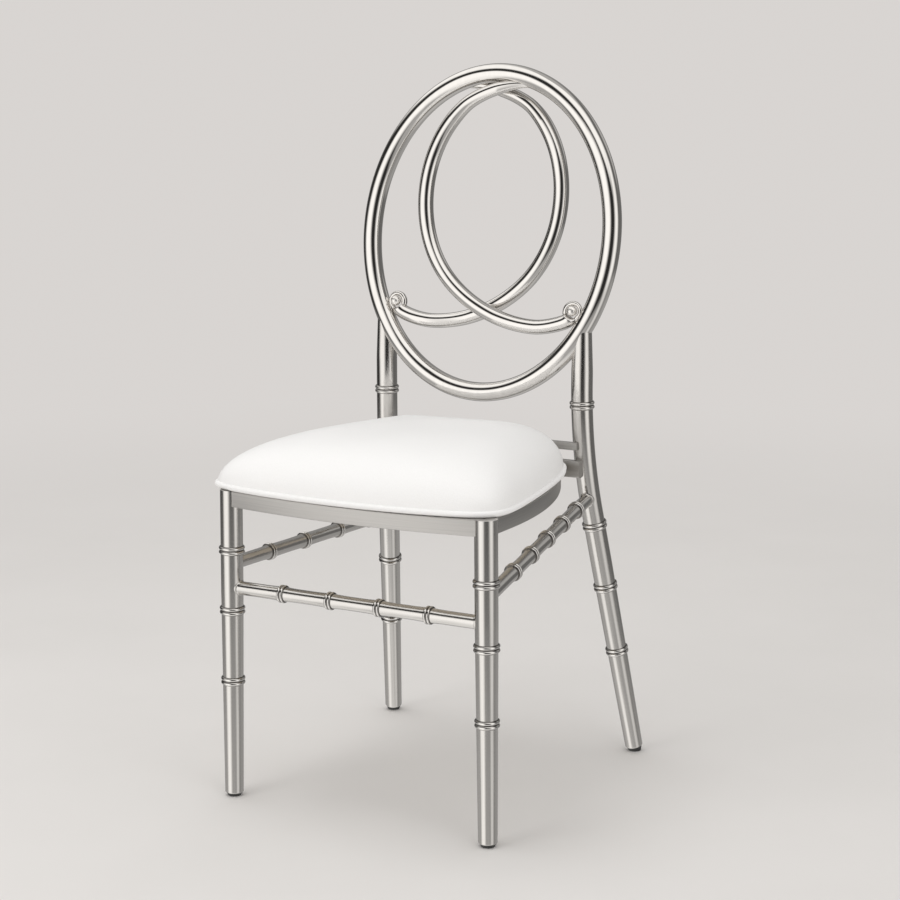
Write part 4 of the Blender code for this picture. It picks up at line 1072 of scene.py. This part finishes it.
def cover_rings(lift, around):
    """Level rings of the cover at heights that are shares of the crown.

    spread = (1 - share^edge)^(1/power) is how far a ring reaches from the peak to the outline. The lowest
    ring lies inside the piping, below the seam, and the foam stands a little higher on the right.
    """
    spread = (1 - lift[:, None] ** CROWN_EDGE) ** (1 / CROWN_POWER)
    edge = pad_outline(CUSHION_INSET, around, spread ** CORNER_FADE)
    middle = np.array([0.0, (PAD_FRONT + REAR_RAIL_FRONT) / 2])
    peak = middle + np.array([0.0, CROWN_SHIFT])
    plan = peak + (middle - peak) * spread[..., None] + (edge - middle) * spread[..., None]
    level = CUSHION_BOTTOM + (CUSHION_CROWN + CROWN_LEAN * plan[..., 0]) * lift[:, None]
    below = 1 - lift[:, None]
    level = level - TUCK_DROP * below ** TUCK_FADE + rear_rise(plan[..., 1]) * below ** RISE_FADE
    return np.concatenate([plan, level[..., None]], -1)


lift = np.sin(np.linspace(0, pi / 2, 90))[:-1]
rings = cover_rings(lift, 240)
cushion = skin("pad_cover", rings, rings, LEATHERETTE)
stands_for(cushion, "white_leatherette", "seat_cushion")
print("cover:", len(cushion.data.vertices), "points, top at", round(rings[..., 2].max(), 4))

# %% [markdown]
# ### Piping
#
# The welt is a cord sewn into a strip of the cover. It is a thin tube along the pad's own outline, half its
# thickness in.

# %% Piping
piping_line = pad_outline(PIPING_DIAMETER / 2, 260)
piping_level = BOARD_BOTTOM + PIPING_DIAMETER / 2 + rear_rise(piping_line[:, 1])
piping_path = np.column_stack([piping_line, piping_level])
rings, unrolled = tube_rings(piping_path, PIPING_DIAMETER / 2, UPWARDS, 20, joined=True)
piping = skin("pad_piping", rings, unrolled, LEATHERETTE, joined=True)
stands_for(piping, "white_leatherette", "seat_piping")
print("piping:", len(piping.data.vertices), "points")

# %% [markdown]
# ## Under the seat
#
# The board is a plate inside the pad's own outline, with its edges eased. The tabs that hold it are plain
# plates, so their CAD solids stay and only get a finish. The screws are made again: a low dome with a cross
# recess. The dome is a stack of rings whose height also depends on the angle, which sinks the cross into
# it.

# %% Board and tabs
BOARD_INSET, BOARD_EASING = 0.0078, 0.0008

inset = BOARD_INSET + np.array([BOARD_EASING, 0, 0, BOARD_EASING])
level = BOARD_BOTTOM + np.array([0, BOARD_EASING, BOARD_THICKNESS - BOARD_EASING, BOARD_THICKNESS])
plan = np.stack([pad_outline(distance, 200) for distance in inset])
rings = np.concatenate([plan, np.broadcast_to(level[:, None, None], (4, 200, 1))], -1)
board = skin("pad_board", rings, rings, PLYWOOD)
stands_for(board, "plywood", "seat_board")
for place in ("front", "rear"):
    for word, _ in SIDES:
        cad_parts["seat_tab_%s_%s" % (place, word)].material_slots[0].material = SATIN_PLATE
print("one board and finishes on four CAD tabs")

# %% Four screws
SCREW_DIAMETER, SCREW_HEAD_DIAMETER, SCREW_HEAD_HEIGHT, SCREW_BITE = 0.005, 0.010, 0.0032, 0.006
TAB_THICKNESS, RECESS_REACH, RECESS_WIDTH, RECESS_DEPTH = 0.003, 0.0027, 0.0007, 0.0014
RECESS_WALL, RECESS_END, DOME_ROUNDNESS = 0.0003, 0.0005, 2.6
DOME_RINGS, DOME_START, SCREW_POINTS = 30, 0.0002, 48


def screw(name, x, y):
    """Rings out over the domed head, in under it and up the shank; a cross recess is sunk into the dome."""
    seat = FRAME_TOP - TAB_THICKNESS - CLEARANCE
    head, shank = SCREW_HEAD_DIAMETER / 2, SCREW_DIAMETER / 2
    out = np.concatenate([np.linspace(DOME_START, head, DOME_RINGS), [head, shank, shank]])
    dome = SCREW_HEAD_HEIGHT * np.sqrt(np.clip(1 - (out[:DOME_RINGS] / head) ** DOME_ROUNDNESS, 0, 1))
    down = np.concatenate([dome, [0.0, 0.0, -(BOARD_BOTTOM + SCREW_BITE - seat)]])
    turn = full_turn(SCREW_POINTS)
    x_in, y_in = out[:, None] * np.cos(turn), out[:, None] * np.sin(turn)
    arm = np.minimum(np.abs(x_in), np.abs(y_in))
    cross = smooth_step((RECESS_WIDTH - arm) / RECESS_WALL)
    cross = cross * smooth_step((RECESS_REACH - out[:, None]) / RECESS_END)
    z = seat - down[:, None] + RECESS_DEPTH * cross * (np.arange(len(out)) < DOME_RINGS)[:, None]
    rings = np.stack([x + x_in, y + y_in, z], -1)
    return skin(name, rings, rings, ZINC)


for place in ("front", "rear"):
    for word, _ in SIDES:
        low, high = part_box("seat_screw_%s_%s" % (place, word))
        piece = screw("screw_%s_%s" % (place, word), (low.x + high.x) / 2, (low.y + high.y) / 2)
        stands_for(piece, "zinc_screw", "seat_screw_%s_%s" % (place, word))
print("four screws")

# %% [markdown]
# ## Studio
#
# The chair stands in front of a plain pale wall. The camera sees one tone there, and the light that reaches
# the chair from all round has another, so the wall can be matched without changing the light.

# %% Background
BACKGROUND, AMBIENT = (0.690, 0.663, 0.643), (0.745, 0.737, 0.727)


def seen_share(tree):
    """1 for rays that show something to the camera, straight, mirrored or through glass, and 0 for light."""
    rays = add_node(tree, "ShaderNodeLightPath", {}).outputs
    seen = rays["Is Camera Ray"]
    for kind in ("Is Glossy Ray", "Is Transmission Ray"):
        seen = add_node(tree, "ShaderNodeMath", {0: seen, 1: rays[kind]}, operation="MAXIMUM").outputs[0]
    return seen


studio = bpy.data.worlds.new("studio")
bpy.context.scene.world = studio
studio.use_nodes = True
tree = studio.node_tree
tint = colour_mix(tree, seen_share(tree), (*AMBIENT, 1.0), (*BACKGROUND, 1.0))
tree.links.new(tint, tree.nodes["Background"].inputs["Color"])
print("background", BACKGROUND, "lit by", AMBIENT)

# %% [markdown]
# ### Floor
#
# The floor is a wide pale disc that fades into the background, so there is no horizon. It keeps the chair's
# soft shadow.

# %% Floor
FLOOR_RADIUS, FLOOR_POINTS, FADE_START, FADE_END = 14.0, 96, 0.9, 3.2


def floor_finish():
    """Pale matt floor with a faint mottle that fades into the background between two distances."""
    finish, shader, tree = plain_finish("studio_floor", (0.72, 0.70, 0.68), 0.9, 0.0)
    shader.inputs["Specular IOR Level"].default_value = 0.1
    place = object_place(tree)
    mottle = stretched_noise(tree, place, (3, 3, 3), 3.0)
    tree.links.new(two_tones(tree, mottle, (0.765, 0.745, 0.725), (0.785, 0.764, 0.745)),
                   shader.inputs["Base Color"])
    away = add_node(tree, "ShaderNodeVectorMath", {0: place}, operation="LENGTH").outputs["Value"]
    fade = add_node(tree, "ShaderNodeMapRange", {"Value": away, "From Min": FADE_START, "From Max": FADE_END},
                    interpolation_type="SMOOTHSTEP").outputs["Result"]
    share = add_node(tree, "ShaderNodeMath", {0: seen_share(tree), 1: fade}, operation="MULTIPLY").outputs[0]
    haze = add_node(tree, "ShaderNodeEmission", {"Color": (*BACKGROUND, 1.0), "Strength": 1.0}).outputs[0]
    mixed = add_node(tree, "ShaderNodeMixShader", {0: share, 1: shader.outputs[0], 2: haze})
    tree.links.new(mixed.outputs[0], tree.nodes["Material Output"].inputs["Surface"])
    return finish


rim = np.column_stack([FLOOR_RADIUS * circle(full_turn(FLOOR_POINTS)), np.zeros(FLOOR_POINTS)])
mesh = bpy.data.meshes.new("floor")
mesh.from_pydata(rim.tolist(), [], [list(range(FLOOR_POINTS))])
mesh.materials.append(floor_finish())
floor = show("floor", mesh)
floor.visible_glossy = False
print("floor of", FLOOR_RADIUS, "m radius")

# %% [markdown]
# ### Panels
#
# Metal looks like what is round it, so a chair like this is photographed among white and black panels: a
# white panel gives a tube its bright stripe, a black one its dark edge. Here the panels are painted on the
# inside of a wide dome. Only reflections see it, so it neither hides the chair nor shades it.

# %% Panels for the reflections
def ramp(value, start, end):
    """0 at the start, 1 at the end and a smooth rise between; the end may lie below the start."""
    return smooth_step((value - start) / (end - start))


def panel_glow(turn, rise):
    """Brightness of the studio by the angle round from the camera and the elevation, both in degrees.

    A wide white panel on the left whose upper edge climbs to the right, a narrow tall one on the right that
    is dimmer below, a small one further round to the right, a dark gap for the camera, dim walls at the sides
    and behind, a grey skirt just below the horizon, a white ceiling with a slanting edge and a pale floor
    that is brightest on the left. Where two overlap, the brighter one counts.
    """
    dim = 0.03 + 0.14 * ramp(turn, 60, 95) + 0.16 * ramp(turn, 125, 175) + 0.26 * ramp(turn, -118, -175)
    left_top = 20 + 0.35 * (turn + 75)
    inward = 14 * ramp(rise, 5, -12)
    left = 1.32 * ramp(turn, -112 + inward, -75 + inward) * ramp(turn, -6, -41)
    left = left * ramp(rise, left_top + 7, left_top - 7) * (1 - 0.10 * ramp(rise, -10, -35))
    right = 1.18 * ramp(turn, 14, 45) * ramp(turn, 86, 54) * (1 - 0.30 * ramp(rise, -6, -16))
    aside = 0.5 * ramp(turn, 92, 112) * ramp(turn, 155, 130) * ramp(rise, 12, 24) * ramp(rise, 52, 38)
    skirt = 0.30 * ramp(rise, -5, -15) + 0.10 * ramp(turn, 70, 110) * ramp(rise, 2, -8)
    edge = np.interp(turn, [-180, -145, -97, -40, 25, 60, 100, 180], [45, 23, 42, 63, 31, 55, 62, 45])
    ceiling = (0.5 + 0.75 * ramp(turn, -185, -140) * ramp(turn, 110, 45)) * ramp(rise, edge - 9, edge + 9)
    ground = 0.55 + 0.40 * ramp(turn, 75, 5) * ramp(turn, -180, -120)
    ground = ground * (0.50 * ramp(rise, -5, -20) + 0.50 * ramp(rise, -32, -52))
    return np.maximum.reduce(np.broadcast_arrays(dim, skirt, left, right, aside, ceiling, ground))


DOME_RADIUS, PANEL_COLOUR = 9.0, (1.0, 0.985, 0.965, 1.0)
turn = np.linspace(-180, 180, 361)[:-1]
rise = np.linspace(-89, 89, 179)[:, None]
azimuth = np.radians(turn) + AZIMUTH
level = np.cos(np.radians(rise))
rings = DOME_RADIUS * np.stack(np.broadcast_arrays(level * np.sin(azimuth), -level * np.cos(azimuth),
                                                   np.sin(np.radians(rise))), -1)
glow = panel_glow(turn, rise)

panel_finish = bpy.data.materials.new("studio_panels")
panel_finish.use_nodes = True
tree = panel_finish.node_tree
tree.nodes.remove(tree.nodes["Principled BSDF"])
strength = add_node(tree, "ShaderNodeAttribute", {}, attribute_name="glow").outputs["Fac"]
light = add_node(tree, "ShaderNodeEmission", {"Color": PANEL_COLOUR, "Strength": strength})
tree.links.new(light.outputs[0], tree.nodes["Material Output"].inputs["Surface"])
panel_finish.cycles.emission_sampling = "NONE"

panels = skin("panels", rings, rings, panel_finish)
glow = np.concatenate([glow.ravel(), [glow[0].mean(), glow[-1].mean()]])
note(panels, "glow", glow)
panels.visible_camera = panels.visible_diffuse = False
panels.visible_shadow = panels.visible_transmission = False
print("panels on a dome, from", round(float(glow.min()), 2), "to", round(float(glow.max()), 2))

# %% [markdown]
# ### Lamps
#
# Three soft lamps give the light a direction: one overhead for the shadow under the seat, and one on each
# side of the camera for the front of the pad. Reflections leave them out, because the panels already do
# that work.

# %% Lamps
def soft_box(name, turn, elevation, distance, size, power):
    """A square lamp at angles from the camera's direction, aimed at the chair; reflections don't see it."""
    axes = axes_towards(radians(turn) + AZIMUTH, radians(elevation))
    light = bpy.data.lights.new(name, "AREA")
    light.size, light.energy = size, power
    lamp = show(name, light, axes, CHAIR_MIDDLE + distance * axes[:, 2])
    lamp.visible_glossy = False
    return lamp


lamps = [soft_box("overhead_light", -95, 77, 2.2, 1.0, 10.5),
         soft_box("left_light", -52, 20, 2.4, 1.0, 8.0),
         soft_box("right_light", 30, 16, 2.4, 1.0, 5.0)]
print("soft lamps of", [lamp.data.energy for lamp in lamps], "W")

# %% [markdown]
# ## Last step
#
# The last step sets the plain view transform.

# %% View transform
bpy.context.scene.view_settings.view_transform = "Standard"
